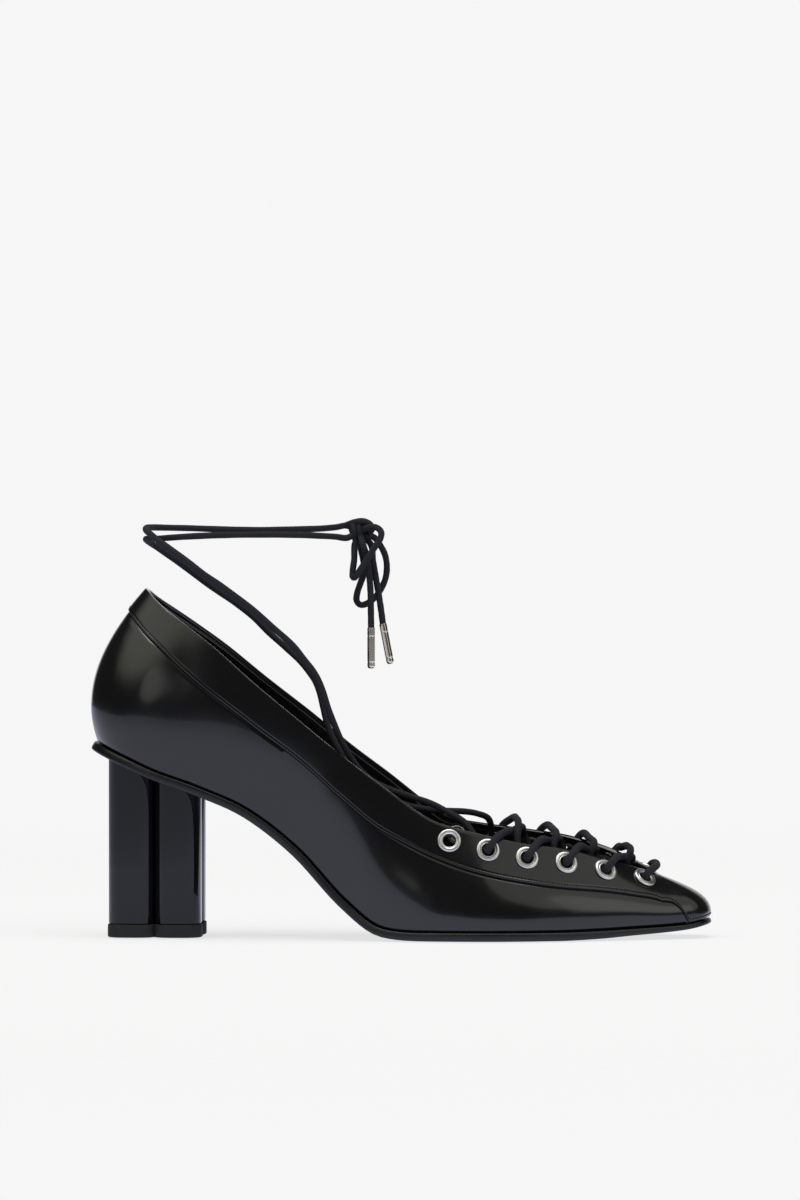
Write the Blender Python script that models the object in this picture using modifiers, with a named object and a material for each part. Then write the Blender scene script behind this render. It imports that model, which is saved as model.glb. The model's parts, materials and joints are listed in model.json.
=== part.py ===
"""Lace-up court shoe for the right foot, on a clover-shaped pillar heel.

Metres, +Z up. The toe points to +X and the outer side of the foot to -Y. The origin is the
middle of the heel's flat underside, and the floor is Z = 0. The upper, the insole and the sole
are all read from one table of sections round the last, so they follow each other.
"""

import math
from collections import namedtuple

import bmesh
import bpy
from mathutils import Matrix, Vector

# Sizes of the last
LENGTH = 0.250
BALL_WIDTH = 0.0765
SEAT_RISE = 0.0747
COLLAR_HEIGHT = 0.1398
INNER_RAISE = 0.0035

# Sizes of the upper
WALL = 0.0018
OVERLAY_STEP = 0.0009
GAP = 0.0003

# Sizes of the sole and the insole
SOLE_THICKNESS = 0.0034
SOLE_LIP = 0.0010
INSOLE_THICKNESS = 0.0020

# Sizes of the heel and its top lift
HEEL_SETBACK = 0.0265
HEEL_SIZE = 0.0372
LOBE_ROUNDING = 0.0072
LOBE_OVERLAP = 0.0003
LIFT_HEIGHT = 0.0053
LIFT_LIP = 0.0004

# Sizes of the eyelets
EYELET_COUNT = 6
EYELET_FROM_TOE = 0.0269
EYELET_PITCH = 0.0154
EYELET_INSET = 0.0062
EYELET_DIAMETER = 0.0095
EYELET_HOLE = 0.0054
EYELET_RIM = 0.0010
EYELET_LIP = 0.00025
EYELET_BARREL = 0.0004
EYELET_BACK_DIAMETER = 0.0078
EYELET_BACK_GAP = 0.0007
EYELET_BACK_THICKNESS = 0.0004

# Sizes of the lace
LACE_DIAMETER = 0.0030
LACE_CLEAR_OUT = 0.0034
LACE_CLEAR_IN = 0.0066
TIE_DIAMETER = 0.0026
AGLET_DIAMETER = 0.0031
AGLET_LENGTH = 0.0155
KNOT_WIDTH = 0.0086
KNOT_HEIGHT = 0.0090

# How finely the curved pieces are divided
STEPS_PER_SECTION = 3
QUARTER_BANDS = 4
OVERLAY_BANDS = 3
LINING_BANDS = 3
ROUND_SIDES = 12
KNOT_RINGS = 8
CORD_STEPS = 2
CORNER_STEPS = 5
LACE_STEP = 0.0062
TIE_STEP = 0.0070
SMOOTH_ANGLE = 35

# The steps round the ring and up the side over which a direction is measured, the halvings that
# find a place, and the distance under which two points are one
NUDGE = 0.04
HEIGHT_NUDGE = 0.02
HALVINGS = 40
WELD = 0.00001

# The share of a section's chord that its lower and its upper curve handle reach over
HANDLE_LOW = 0.33
HANDLE_TOP = 0.46

# Sections from the back of the heel to the tip of the toe, one row each. Lengths along the shoe
# are shares of LENGTH, outward distances of BALL_WIDTH, rise of SEAT_RISE and top_height of
# COLLAR_HEIGHT. thick is the share of the sole's thickness, raised the share of INNER_RAISE,
# the leans are in degrees and seam is the overlay's edge as a share of the way up the section.
Section = namedtuple("Section", "along outer inner rise thick top_along top_outer top_inner "
                                "top_height raised lean_low lean_top seam")
SECTIONS = [
    Section(0.0100, 0.000, 0.000, 1.000, 1.00, 0.0904, 0.000, 0.000, 1.000, 0.0, 15, 42, 0.87),
    Section(0.0144, 0.111, 0.111, 0.993, 1.00, 0.0936, 0.059, 0.059, 0.996, 0.0, 15, 41, 0.86),
    Section(0.0320, 0.209, 0.209, 0.967, 1.00, 0.1060, 0.131, 0.131, 0.974, 0.0, 14, 36, 0.84),
    Section(0.0640, 0.285, 0.285, 0.920, 1.00, 0.1300, 0.209, 0.209, 0.939, 0.1, 13, 30, 0.81),
    Section(0.1120, 0.327, 0.327, 0.849, 1.00, 0.1640, 0.268, 0.268, 0.894, 0.15, 12, 22, 0.77),
    Section(0.1800, 0.337, 0.327, 0.768, 1.00, 0.2120, 0.320, 0.314, 0.828, 0.25, 12, 16, 0.73),
    Section(0.2600, 0.327, 0.301, 0.647, 1.00, 0.2760, 0.353, 0.340, 0.728, 0.5, 14, 11, 0.72),
    Section(0.3400, 0.314, 0.255, 0.439, 1.00, 0.3460, 0.373, 0.353, 0.626, 0.7, 18, 8, 0.745),
    Section(0.4160, 0.340, 0.242, 0.166, 1.00, 0.4140, 0.379, 0.359, 0.527, 0.7, 20, 7, 0.755),
    Section(0.4800, 0.405, 0.281, 0.016, 1.00, 0.4750, 0.379, 0.359, 0.4455, 0.7, 16, 8, 0.74),
    Section(0.5440, 0.464, 0.366, 0.000, 1.00, 0.5390, 0.373, 0.359, 0.360, 0.6, 12, 12, 0.735),
    Section(0.5840, 0.481, 0.405, 0.000, 1.00, 0.5740, 0.366, 0.359, 0.3255, 0.6, 10, 15, 0.71),
    Section(0.6400, 0.484, 0.444, 0.000, 1.00, 0.6320, 0.346, 0.359, 0.300, 0.8, 10, 19, 0.65),
    Section(0.7040, 0.451, 0.464, 0.000, 1.00, 0.7000, 0.307, 0.340, 0.276, 1.0, 12, 22, 0.61),
    Section(0.7600, 0.392, 0.448, 0.000, 1.00, 0.7600, 0.248, 0.314, 0.260, 1.0, 14, 26, 0.575),
    Section(0.8240, 0.305, 0.405, 0.005, 0.95, 0.8160, 0.163, 0.268, 0.236, 0.9, 18, 33, 0.57),
    Section(0.8800, 0.209, 0.353, 0.012, 0.80, 0.8600, 0.078, 0.209, 0.210, 0.7, 22, 43, 0.54),
    Section(0.9280, 0.131, 0.307, 0.019, 0.70, 0.8870, 0.007, 0.154, 0.1925, 0.4, 24, 54, 0.44),
    Section(0.9640, 0.072, 0.272, 0.029, 0.63, 0.9000, -0.039, 0.115, 0.183, 0.2, 24, 63, 0.03),
    Section(0.9850, 0.013, 0.229, 0.043, 0.60, 0.9044, -0.060, 0.0915, 0.1805, 0.0, 22, 67, 0.03),
    Section(0.9940, -0.111, 0.111, 0.051, 0.60, 0.9056, -0.076, 0.076, 0.1795, 0.0, 20, 68, 0.03),
]
LAST = len(SECTIONS) - 1
STATIONS = 2 * LAST

# A strand's way over the throat, from the outside of one eyelet to the inside of the next row's
# eyelet on the other side. ahead is the share of the way to the next row. At an edge, out is the
# distance out of the wall and climb the distance above the edge. Between the edges, across is
# the share of the way over and lift the height over the line between them, less the row's drop.
EdgeSpot = namedtuple("EdgeSpot", "ahead out climb")
SpanSpot = namedtuple("SpanSpot", "ahead across lift")
LEAVING = [EdgeSpot(0.20, 0.0042, -0.0010), EdgeSpot(0.40, 0.0016, 0.0025)]
UNDER_SPAN = [
    SpanSpot(0.62, 0.25, 0.0048),
    SpanSpot(0.70, 0.50, 0.0044),
    SpanSpot(0.78, 0.76, 0.0034),
]
OVER_SPAN = [
    SpanSpot(0.58, 0.25, 0.0072),
    SpanSpot(0.66, 0.50, 0.0082),
    SpanSpot(0.78, 0.82, 0.0080),
]
ROW_DROPS = (0.0014, 0.0036, 0.0040, 0.0016)
UNDER_ENTRY = EdgeSpot(0.84, -0.0046, 0.0)
OVER_ENTRY = EdgeSpot(0.86, -0.0044, 0.0022)

# The bar that joins the two sides next to the toe: the share of the way from eyelet to eyelet,
# and the distances forward of and over the straight line between them.
Bar = namedtuple("Bar", "across forward lift")
TOE_BAR = [
    Bar(0.12, 0.0016, 0.0010),
    Bar(0.50, 0.0028, 0.0012),
    Bar(0.88, 0.0016, 0.0010),
]

# The ties, from behind the second eyelet, back inside the throat, up behind the ankle and
# forward to the knot. Each is a list of places in the shoe, in metres. The ties end, and the loops
# and ends begin, on the knot's surface towards the listed place next to it.
OUTER_TIE = [
    (0.1256, -0.0175, 0.0463), (0.1183, -0.0155, 0.0508), (0.1110, -0.0145, 0.0544),
    (0.1029, -0.0140, 0.0570), (0.0953, -0.0145, 0.0596), (0.0885, -0.0150, 0.0628),
    (0.0830, -0.0160, 0.0677), (0.0787, -0.0175, 0.0738), (0.0752, -0.0190, 0.0806),
    (0.0723, -0.0205, 0.0879), (0.0704, -0.0215, 0.0933), (0.0688, -0.0225, 0.0988),
    (0.0671, -0.0235, 0.1034), (0.0647, -0.0245, 0.1077), (0.0616, -0.0255, 0.1117),
    (0.0569, -0.0265, 0.1177), (0.0478, -0.0275, 0.1260), (0.0411, -0.0280, 0.1320),
    (0.0345, -0.0283, 0.1370), (0.0278, -0.0280, 0.1419), (0.0219, -0.0275, 0.1458),
    (0.0144, -0.0255, 0.1514), (0.0088, -0.0225, 0.1552), (0.0023, -0.0170, 0.1594),
    (-0.0015, -0.0115, 0.1620), (-0.0041, -0.0040, 0.1635), (-0.0047, 0.0040, 0.1644),
    (-0.0030, 0.0125, 0.1645), (0.0016, 0.0195, 0.1643), (0.0112, 0.0260, 0.1640),
    (0.0240, 0.0285, 0.1635), (0.0375, 0.0270, 0.1633), (0.0521, 0.0215, 0.1636),
    (0.0640, 0.0145, 0.1640), (0.0717, 0.0080, 0.1647), (0.0765, 0.0035, 0.1654),
]
INNER_TIE = [
    (0.1330, 0.0175, 0.0466), (0.1287, 0.0145, 0.0488), (0.1236, 0.0115, 0.0498),
    (0.1185, 0.0090, 0.0501), (0.1129, 0.0075, 0.0504), (0.1061, 0.0065, 0.0512),
    (0.0993, 0.0065, 0.0528), (0.0928, 0.0075, 0.0562), (0.0854, 0.0090, 0.0610),
    (0.0788, 0.0105, 0.0670), (0.0739, 0.0120, 0.0730), (0.0703, 0.0135, 0.0786),
    (0.0672, 0.0155, 0.0866), (0.0659, 0.0170, 0.0919), (0.0645, 0.0185, 0.0973),
    (0.0626, 0.0200, 0.1020), (0.0598, 0.0215, 0.1060), (0.0563, 0.0230, 0.1100),
    (0.0505, 0.0250, 0.1153), (0.0437, 0.0265, 0.1212), (0.0368, 0.0275, 0.1279),
    (0.0300, 0.0280, 0.1332), (0.0232, 0.0280, 0.1378), (0.0174, 0.0270, 0.1419),
    (0.0101, 0.0245, 0.1476), (0.0050, 0.0210, 0.1515), (-0.0005, 0.0150, 0.1558),
    (-0.0036, 0.0080, 0.1584), (-0.0046, 0.0005, 0.1599), (-0.0028, -0.0050, 0.1601),
    (0.0010, -0.0100, 0.1603), (0.0068, -0.0165, 0.1608), (0.0153, -0.0220, 0.1614),
    (0.0286, -0.0275, 0.1620), (0.0418, -0.0280, 0.1622), (0.0554, -0.0220, 0.1621),
    (0.0660, -0.0145, 0.1616), (0.0728, -0.0080, 0.1611), (0.0770, -0.0045, 0.1606),
]
KNOT_PLACE = (0.0819, 0.0, 0.1631)
LOOP_ONE = [
    (0.0855, -0.0050, 0.1647), (0.0888, -0.0062, 0.1649), (0.0910, -0.0074, 0.1631),
    (0.0908, -0.0082, 0.1605), (0.0886, -0.0090, 0.1570), (0.0853, -0.0094, 0.1518),
    (0.0823, -0.0092, 0.1472), (0.0804, -0.0082, 0.1447), (0.0795, -0.0068, 0.1451),
    (0.0795, -0.0060, 0.1477), (0.0800, -0.0054, 0.1515), (0.0800, -0.0040, 0.1551),
    (0.0800, -0.0026, 0.1579),
]
LOOP_TWO = [
    (0.0878, 0.0026, 0.1605), (0.0900, 0.0038, 0.1574), (0.0917, 0.0048, 0.1539),
    (0.0925, 0.0054, 0.1495), (0.0921, 0.0058, 0.1448), (0.0906, 0.0060, 0.1408),
    (0.0880, 0.0058, 0.1368), (0.0846, 0.0054, 0.1340), (0.0819, 0.0050, 0.1334),
    (0.0804, 0.0044, 0.1350), (0.0806, 0.0038, 0.1381), (0.0821, 0.0030, 0.1425),
    (0.0836, 0.0024, 0.1470), (0.0832, 0.0022, 0.1516), (0.0822, 0.0026, 0.1560),
]
END_ONE = [
    (0.0838, -0.0070, 0.1576), (0.0852, -0.0060, 0.1530), (0.0862, -0.0062, 0.1453),
    (0.0867, -0.0062, 0.1381), (0.0868, -0.0060, 0.1308), (0.0869, -0.0060, 0.1238),
]
END_TWO = [
    (0.0867, -0.0016, 0.1575), (0.0874, -0.0030, 0.1517), (0.0887, -0.0030, 0.1440),
    (0.0899, -0.0028, 0.1368), (0.0908, -0.0026, 0.1307), (0.0915, -0.0026, 0.1253),
]
END_ONE_AIM = (0.0, 0.0, -1.0)
END_TWO_AIM = (0.19, 0.0, -0.98)

# Colours, roughness and metallic value of each material
FINISHES = {
    "upper_leather": ((0.012, 0.012, 0.012, 1.0), 0.18, 0.0),
    "insole_leather": ((0.015, 0.014, 0.014, 1.0), 0.55, 0.0),
    "sole_rubber": ((0.014, 0.014, 0.015, 1.0), 0.50, 0.0),
    "heel_plastic": ((0.008, 0.008, 0.011, 1.0), 0.06, 0.0),
    "lift_rubber": ((0.020, 0.020, 0.019, 1.0), 0.75, 0.0),
    "eyelet_metal": ((0.80, 0.79, 0.76, 1.0), 0.16, 1.0),
    "lace_cord": ((0.018, 0.018, 0.026, 1.0), 0.85, 0.0),
    "aglet_metal": ((0.78, 0.71, 0.58, 1.0), 0.18, 1.0),
}


def clear_scene():
    """Remove every object of the scene."""
    for obj in list(bpy.data.objects):
        bpy.data.objects.remove(obj, do_unlink=True)


def make_collection(name):
    """Return a new collection in the scene."""
    collection = bpy.data.collections.new(name)
    bpy.context.scene.collection.children.link(collection)
    return collection


def make_material(name):
    """Return the material of that name, made once."""
    found = bpy.data.materials.get(name)
    if found:
        return found
    colour, roughness, metallic = FINISHES[name]
    material = bpy.data.materials.new(name)
    material.use_nodes = True
    shader = material.node_tree.nodes["Principled BSDF"]
    shader.inputs["Base Color"].default_value = colour
    shader.inputs["Roughness"].default_value = roughness
    shader.inputs["Metallic"].default_value = metallic
    material.diffuse_color = colour
    return material


def add_object(name, mesh, collection, finish):
    """Put a mesh into a collection as a named object with its own finish."""
    mesh.name = name
    obj = bpy.data.objects.new(name, mesh)
    collection.objects.link(obj)
    mesh.materials.clear()
    mesh.materials.append(make_material(finish))
    mesh.shade_smooth()
    mesh.set_sharp_from_angle(angle=math.radians(SMOOTH_ANGLE))
    return obj


def add_cutter(name, mesh, collection):
    """Put a mesh into the cutters' collection, hidden from renders."""
    mesh.name = name
    obj = bpy.data.objects.new(name, mesh)
    collection.objects.link(obj)
    obj.hide_render = True
    obj.display_type = "WIRE"
    return obj


def cut_with(obj, cutter):
    """Take the cutter's shape out of the object."""
    modifier = obj.modifiers.new("cut_" + cutter.name, "BOOLEAN")
    modifier.operation = "DIFFERENCE"
    modifier.solver = "EXACT"
    modifier.object = cutter


def mesh_from_faces(points, faces):
    """Return a mesh of these points and faces, with its faces pointing out."""
    mesh = bpy.data.meshes.new("loft")
    mesh.from_pydata([tuple(point) for point in points], [], faces)
    work = bmesh.new()
    work.from_mesh(mesh)
    bmesh.ops.recalc_face_normals(work, faces=work.faces)
    work.to_mesh(mesh)
    work.free()
    return mesh


def ring_of(outer_value, inner_value):
    """Return one value for each station: down the outer side to the toe, back up the inner."""
    outer = [outer_value(row) for row in SECTIONS]
    inner = [inner_value(row) for row in SECTIONS[1:-1]]
    return outer + inner[::-1]


def along(share):
    """Return the place along the shoe of a share of its length."""
    return share * LENGTH - HEEL_SETBACK


def sole_height(row):
    """Return the height of the sole's top at a section."""
    return SOLE_THICKNESS + row.rise * SEAT_RISE


def top_height(row):
    """Return the height of the outer side's top edge at a section."""
    return row.top_height * COLLAR_HEIGHT


FOOT_X = ring_of(lambda row: along(row.along), lambda row: along(row.along))
FOOT_Y = ring_of(lambda row: -row.outer * BALL_WIDTH, lambda row: row.inner * BALL_WIDTH)
FOOT_Z = ring_of(sole_height, sole_height)
TOP_X = ring_of(lambda row: along(row.top_along), lambda row: along(row.top_along))
TOP_Y = ring_of(lambda row: -row.top_outer * BALL_WIDTH, lambda row: row.top_inner * BALL_WIDTH)
TOP_Z = ring_of(top_height, lambda row: top_height(row) + row.raised * INNER_RAISE)
LEAN_LOW = ring_of(lambda row: row.lean_low, lambda row: row.lean_low)
LEAN_TOP = ring_of(lambda row: row.lean_top, lambda row: row.lean_top)
SEAM = ring_of(lambda row: row.seam, lambda row: row.seam)
THICK = ring_of(lambda row: row.thick * SOLE_THICKNESS, lambda row: row.thick * SOLE_THICKNESS)


def slope_at(values, index):
    """Return the slope at a station, level at a crest and never steep enough to overshoot."""
    count = len(values)
    before = values[index % count] - values[(index - 1) % count]
    after = values[(index + 1) % count] - values[index % count]
    if before * after <= 0:
        return 0.0
    limit = 3 * min(abs(before), abs(after))
    return math.copysign(min(abs(before + after) / 2, limit), before)


def read_ring(values, place):
    """Return the value at any place round the ring, on a smooth curve through the stations."""
    start = math.floor(place)
    share = place - start
    first = values[start % len(values)]
    second = values[(start + 1) % len(values)]
    first_slope = slope_at(values, start)
    second_slope = slope_at(values, start + 1)
    square = share * share
    cube = square * share
    return (first * (2 * cube - 3 * square + 1) + first_slope * (cube - 2 * square + share)
            + second * (3 * square - 2 * cube) + second_slope * (cube - square))


def foot_point(place):
    """Return the point of the sole's top edge, where the last's side meets its bottom."""
    return Vector((read_ring(FOOT_X, place), read_ring(FOOT_Y, place), read_ring(FOOT_Z, place)))


def top_point(place):
    """Return the point of the upper's top edge."""
    return Vector((read_ring(TOP_X, place), read_ring(TOP_Y, place), read_ring(TOP_Z, place)))


def outward(curve, place):
    """Return the level direction that points out of the shoe, square to a ring curve."""
    run = curve(place + NUDGE) - curve(place - NUDGE)
    return Vector((run.y, -run.x, 0.0)).normalized()


def sole_point(x, y, lift):
    """Return the point that stands a distance off the sole's top, at a place in plan."""
    place = solve(lambda share: read_ring(FOOT_X, share), x, 0.0, float(LAST))
    normal = sole_normal(place)
    spot = foot_point(place)
    height = spot.z - (x - spot.x) * normal.x / normal.z
    return Vector((x, y, height)) + lift * normal


def sole_normal(place):
    """Return the direction square to the sole's top, which is level across the shoe."""
    low = max(0.0, place - NUDGE)
    high = min(float(LAST), place + NUDGE)
    run = foot_point(high) - foot_point(low)
    return Vector((-run.z, 0.0, run.x)).normalized()


def plan_offset(place, distance, lift):
    """Return a point a distance out of the sole's edge in plan and a lift off the sole's top."""
    edge = foot_point(place) + distance * outward(foot_point, place)
    return sole_point(edge.x, edge.y, lift)


def section_curve(place):
    """Return the four control points of the last's side at a place round the ring."""
    foot = plan_offset(place, 0.0, GAP)
    top = top_point(place)
    reach = (top - foot).length
    low = math.radians(read_ring(LEAN_LOW, place))
    high = math.radians(read_ring(LEAN_TOP, place))
    foot_out = outward(foot_point, place)
    top_out = outward(top_point, place)
    up = Vector((0.0, 0.0, 1.0))
    low_handle = foot + HANDLE_LOW * reach * (math.sin(low) * foot_out + math.cos(low) * up)
    top_handle = top - HANDLE_TOP * reach * (math.cos(high) * up - math.sin(high) * top_out)
    return foot, low_handle, top_handle, top


def side_point(place, height):
    """Return a point of the last's side, with height from 0 at the sole to 1 at the top edge."""
    foot, low_handle, top_handle, top = section_curve(place)
    rest = 1 - height
    return (rest ** 3 * foot + 3 * rest * rest * height * low_handle
            + 3 * rest * height * height * top_handle + height ** 3 * top)


def side_normal(place, height):
    """Return the direction out of the upper's outer face."""
    low = max(0.0, height - HEIGHT_NUDGE)
    high = min(1.0, height + HEIGHT_NUDGE)
    run = side_point(place + NUDGE, height) - side_point(place - NUDGE, height)
    climb = side_point(place, high) - side_point(place, low)
    return run.cross(climb).normalized()


def offset_point(place, height, distance):
    """Return a point that stands a distance out of the last's side, or into it."""
    if height == 0:
        return plan_offset(place, distance, GAP)
    return side_point(place, height) + distance * side_normal(place, height)


def section_loop(place):
    """Return the upper's wall at one place: up the outside, over the edge, down the inside."""
    seam = read_ring(SEAM, place)
    quarter = [offset_point(place, seam * step / QUARTER_BANDS, 0.0)
               for step in range(QUARTER_BANDS + 1)]
    overlay = [offset_point(place, seam + (1 - seam) * step / OVERLAY_BANDS, OVERLAY_STEP)
               for step in range(OVERLAY_BANDS + 1)]
    lining = [offset_point(place, (LINING_BANDS - step) / LINING_BANDS, -WALL)
              for step in range(LINING_BANDS + 1)]
    return quarter + overlay + lining


def make_upper_mesh():
    """Return the upper as one wall round the foot, open at the collar, throat and bottom."""
    columns = STATIONS * STEPS_PER_SECTION
    loops = [section_loop(column / STEPS_PER_SECTION) for column in range(columns)]
    height = len(loops[0])
    points = [point for loop in loops for point in loop]
    faces = []
    for column in range(columns):
        here = column * height
        there = (column + 1) % columns * height
        for row in range(height):
            above = (row + 1) % height
            faces.append((here + row, there + row, there + above, here + above))
    return mesh_from_faces(points, faces)


def plate_rows(grow, lift, depth_at):
    """Return the edge points of a plate that follows the sole's top.

    grow moves its outline out, lift raises its top, and depth_at gives its depth at a place.
    Each row holds the outer and the inner side's top and bottom points.
    """
    rows = []
    for step in range(LAST * STEPS_PER_SECTION + 1):
        place = step / STEPS_PER_SECTION
        row = []
        for side_place in (place, STATIONS - place):
            row.append(plan_offset(side_place, grow, lift))
            row.append(plan_offset(side_place, grow, lift - depth_at(place)))
        rows.append(row)
    return rows


def make_plate_mesh(grow, lift, depth_at):
    """Return a closed plate under the foot, pointed where its two sides meet at the ends."""
    rows = plate_rows(grow, lift, depth_at)
    heel, toe = rows[0], rows[-1]
    points = [heel[0], heel[1]] + [point for row in rows[1:-1] for point in row] + [toe[0], toe[1]]
    last = len(points) - 2
    faces = [(0, 2, 4), (1, 5, 3), (0, 1, 3, 2), (0, 4, 5, 1)]
    for row in range(len(rows) - 3):
        here = 2 + 4 * row
        there = here + 4
        faces.append((here, there, there + 2, here + 2))
        faces.append((here + 1, here + 3, there + 3, there + 1))
        faces.append((here, here + 1, there + 1, there))
        faces.append((here + 2, there + 2, there + 3, here + 3))
    end = last - 4
    faces.append((end, last, end + 2))
    faces.append((end + 1, end + 3, last + 1))
    faces.append((end, end + 1, last + 1, last))
    faces.append((end + 2, last, last + 1, end + 3))
    return mesh_from_faces(points, faces)


def sole_depth(place):
    """Return the sole's thickness at a place."""
    return read_ring(THICK, place)


def insole_depth(_place):
    """Return the insole's thickness, the same at every place."""
    return INSOLE_THICKNESS


def cutter_depth(place):
    """Return how deep the heel's cutter reaches, to a gap below the sole."""
    return HEEL_SIZE + sole_depth(place) + GAP


def clover_outline(grow):
    """Return the clover's outline, four rounded lobes with a groove between each two."""
    half = (HEEL_SIZE / 2 + LOBE_OVERLAP) / 2
    centre = HEEL_SIZE / 2 - half
    radius = LOBE_ROUNDING + grow
    near = centre - half + LOBE_ROUNDING
    far = centre + half - LOBE_ROUNDING
    groove = math.acos(near / radius)
    quarter_turn = math.pi / 2
    arcs = [
        (near, -far, 2 * quarter_turn + groove, 3 * quarter_turn),
        (far, -far, 3 * quarter_turn, 4 * quarter_turn),
        (far, -near, 0.0, quarter_turn - groove),
    ]
    quarter = []
    for x, y, start, end in arcs:
        for step in range(CORNER_STEPS + 1):
            angle = start + (end - start) * step / CORNER_STEPS
            quarter.append((x + radius * math.cos(angle), y + radius * math.sin(angle)))
    outline = []
    for turn in range(4):
        cosine = round(math.cos(turn * quarter_turn))
        sine = round(math.sin(turn * quarter_turn))
        outline += [(x * cosine - y * sine, x * sine + y * cosine) for x, y in quarter[:-1]]
    return outline


def make_clover_mesh(grow, bottom, top):
    """Return an upright clover-shaped prism, from a flat filled outline."""
    curve = bpy.data.curves.new("clover", "CURVE")
    curve.dimensions = "2D"
    curve.fill_mode = "BOTH"
    curve.extrude = (top - bottom) / 2
    outline = clover_outline(grow)
    spline = curve.splines.new("POLY")
    spline.points.add(len(outline) - 1)
    for point, (x, y) in zip(spline.points, outline):
        point.co = (x, y, 0.0, 1.0)
    spline.use_cyclic_u = True
    return mesh_from_curve(curve, Matrix.Translation((0.0, 0.0, (top + bottom) / 2)))


def mesh_from_curve(curve, place):
    """Return a curve's evaluated shape as a welded mesh, moved to its place."""
    obj = bpy.data.objects.new(curve.name, curve)
    bpy.context.scene.collection.objects.link(obj)
    graph = bpy.context.evaluated_depsgraph_get()
    mesh = bpy.data.meshes.new_from_object(obj.evaluated_get(graph))
    bpy.data.objects.remove(obj, do_unlink=True)
    mesh.transform(place)
    work = bmesh.new()
    work.from_mesh(mesh)
    bmesh.ops.remove_doubles(work, verts=work.verts, dist=WELD)
    bmesh.ops.recalc_face_normals(work, faces=work.faces)
    work.to_mesh(mesh)
    work.free()
    return mesh


def solve(function, target, low, high):
    """Return where a rising function reaches the target, by halving."""
    for _ in range(HALVINGS):
        middle = (low + high) / 2
        if function(middle) < target:
            low = middle
        else:
            high = middle
    return (low + high) / 2


def inset_height(place, inset):
    """Return the height on the side that lies an inset below the top edge."""
    top = side_point(place, 1.0)
    return solve(lambda height: -(side_point(place, height) - top).length, -inset, 0.0, 1.0)


Seat = namedtuple("Seat", "centre normal place")


def eyelet_seat(index, outer_side):
    """Return where an eyelet sits, on the outer face of the overlay."""
    from_toe = EYELET_FROM_TOE + (EYELET_COUNT - 1 - index) * EYELET_PITCH
    target = along(1.0) - from_toe

    def ring_place(place):
        return place if outer_side else STATIONS - place

    def reached(place):
        spot = ring_place(place)
        return side_point(spot, inset_height(spot, EYELET_INSET)).x

    place = ring_place(solve(reached, target, LAST / 2, LAST - 1.0))
    height = inset_height(place, EYELET_INSET)
    centre = offset_point(place, height, OVERLAY_STEP)
    return Seat(centre, side_normal(place, height), place)


def frame_at(centre, axis):
    """Return the matrix that turns +Z to an axis and moves the origin to a centre."""
    return Matrix.Translation(centre) @ axis.to_track_quat("Z", "X").to_matrix().to_4x4()


def turned_mesh(profile, place):
    """Return a closed ring turned about an axis, from a loop of radii and heights."""
    mesh = bpy.data.meshes.new("profile")
    edges = [(index, (index + 1) % len(profile)) for index in range(len(profile))]
    mesh.from_pydata([(radius, 0.0, height) for radius, height in profile], edges, [])
    obj = bpy.data.objects.new("turned", mesh)
    bpy.context.scene.collection.objects.link(obj)
    screw = obj.modifiers.new("turn", "SCREW")
    screw.axis = "Z"
    screw.angle = 2 * math.pi
    screw.steps = ROUND_SIDES
    screw.render_steps = ROUND_SIDES
    screw.screw_offset = 0.0
    screw.use_merge_vertices = True
    screw.merge_threshold = WELD
    graph = bpy.context.evaluated_depsgraph_get()
    turned = bpy.data.meshes.new_from_object(obj.evaluated_get(graph))
    bpy.data.objects.remove(obj, do_unlink=True)
    work = bmesh.new()
    work.from_mesh(turned)
    bmesh.ops.remove_doubles(work, verts=work.verts, dist=WELD)
    bmesh.ops.recalc_face_normals(work, faces=work.faces)
    work.to_mesh(turned)
    work.free()
    turned.transform(place)
    return turned


def eyelet_profile():
    """Return the eyelet's section: a domed rim, a barrel through the wall and a back flange."""
    hole = EYELET_HOLE / 2
    barrel = hole + EYELET_BARREL
    rim = EYELET_DIAMETER / 2
    back = EYELET_BACK_DIAMETER / 2
    front_face = GAP
    back_face = -(WALL + OVERLAY_STEP + EYELET_BACK_GAP)
    return [
        (rim, front_face),
        ((rim + hole) / 2, front_face + EYELET_RIM),
        (hole, front_face + EYELET_LIP),
        (hole, back_face - EYELET_BACK_THICKNESS),
        (back, back_face - EYELET_BACK_THICKNESS),
        (back, back_face),
        (barrel, back_face),
        (barrel, front_face),
    ]


def hole_cutter_mesh(seats):
    """Return one mesh of rods for the eyelets' holes, twice the wall's thickness to each side."""
    work = bmesh.new()
    radius = EYELET_HOLE / 2 + EYELET_BARREL + GAP
    reach = 2 * (WALL + OVERLAY_STEP)
    for seat in seats:
        bmesh.ops.create_cone(work, cap_ends=True, segments=ROUND_SIDES, radius1=radius,
                              radius2=radius, depth=2 * reach,
                              matrix=frame_at(seat.centre, seat.normal))
    mesh = bpy.data.meshes.new("holes")
    work.to_mesh(mesh)
    work.free()
    return mesh


def smooth_route(points, step):
    """Return the route's own points and points between them, on a smooth curve through all."""
    knots = [Vector(point) for point in points]
    padded = [2 * knots[0] - knots[1]] + knots + [2 * knots[-1] - knots[-2]]
    route = []
    for index in range(1, len(padded) - 2):
        before, start, end, after = padded[index - 1:index + 3]
        pieces = max(1, round((end - start).length / step))
        route += [catmull(before, start, end, after, piece / pieces) for piece in range(pieces)]
    return route + [knots[-1]]


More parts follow.
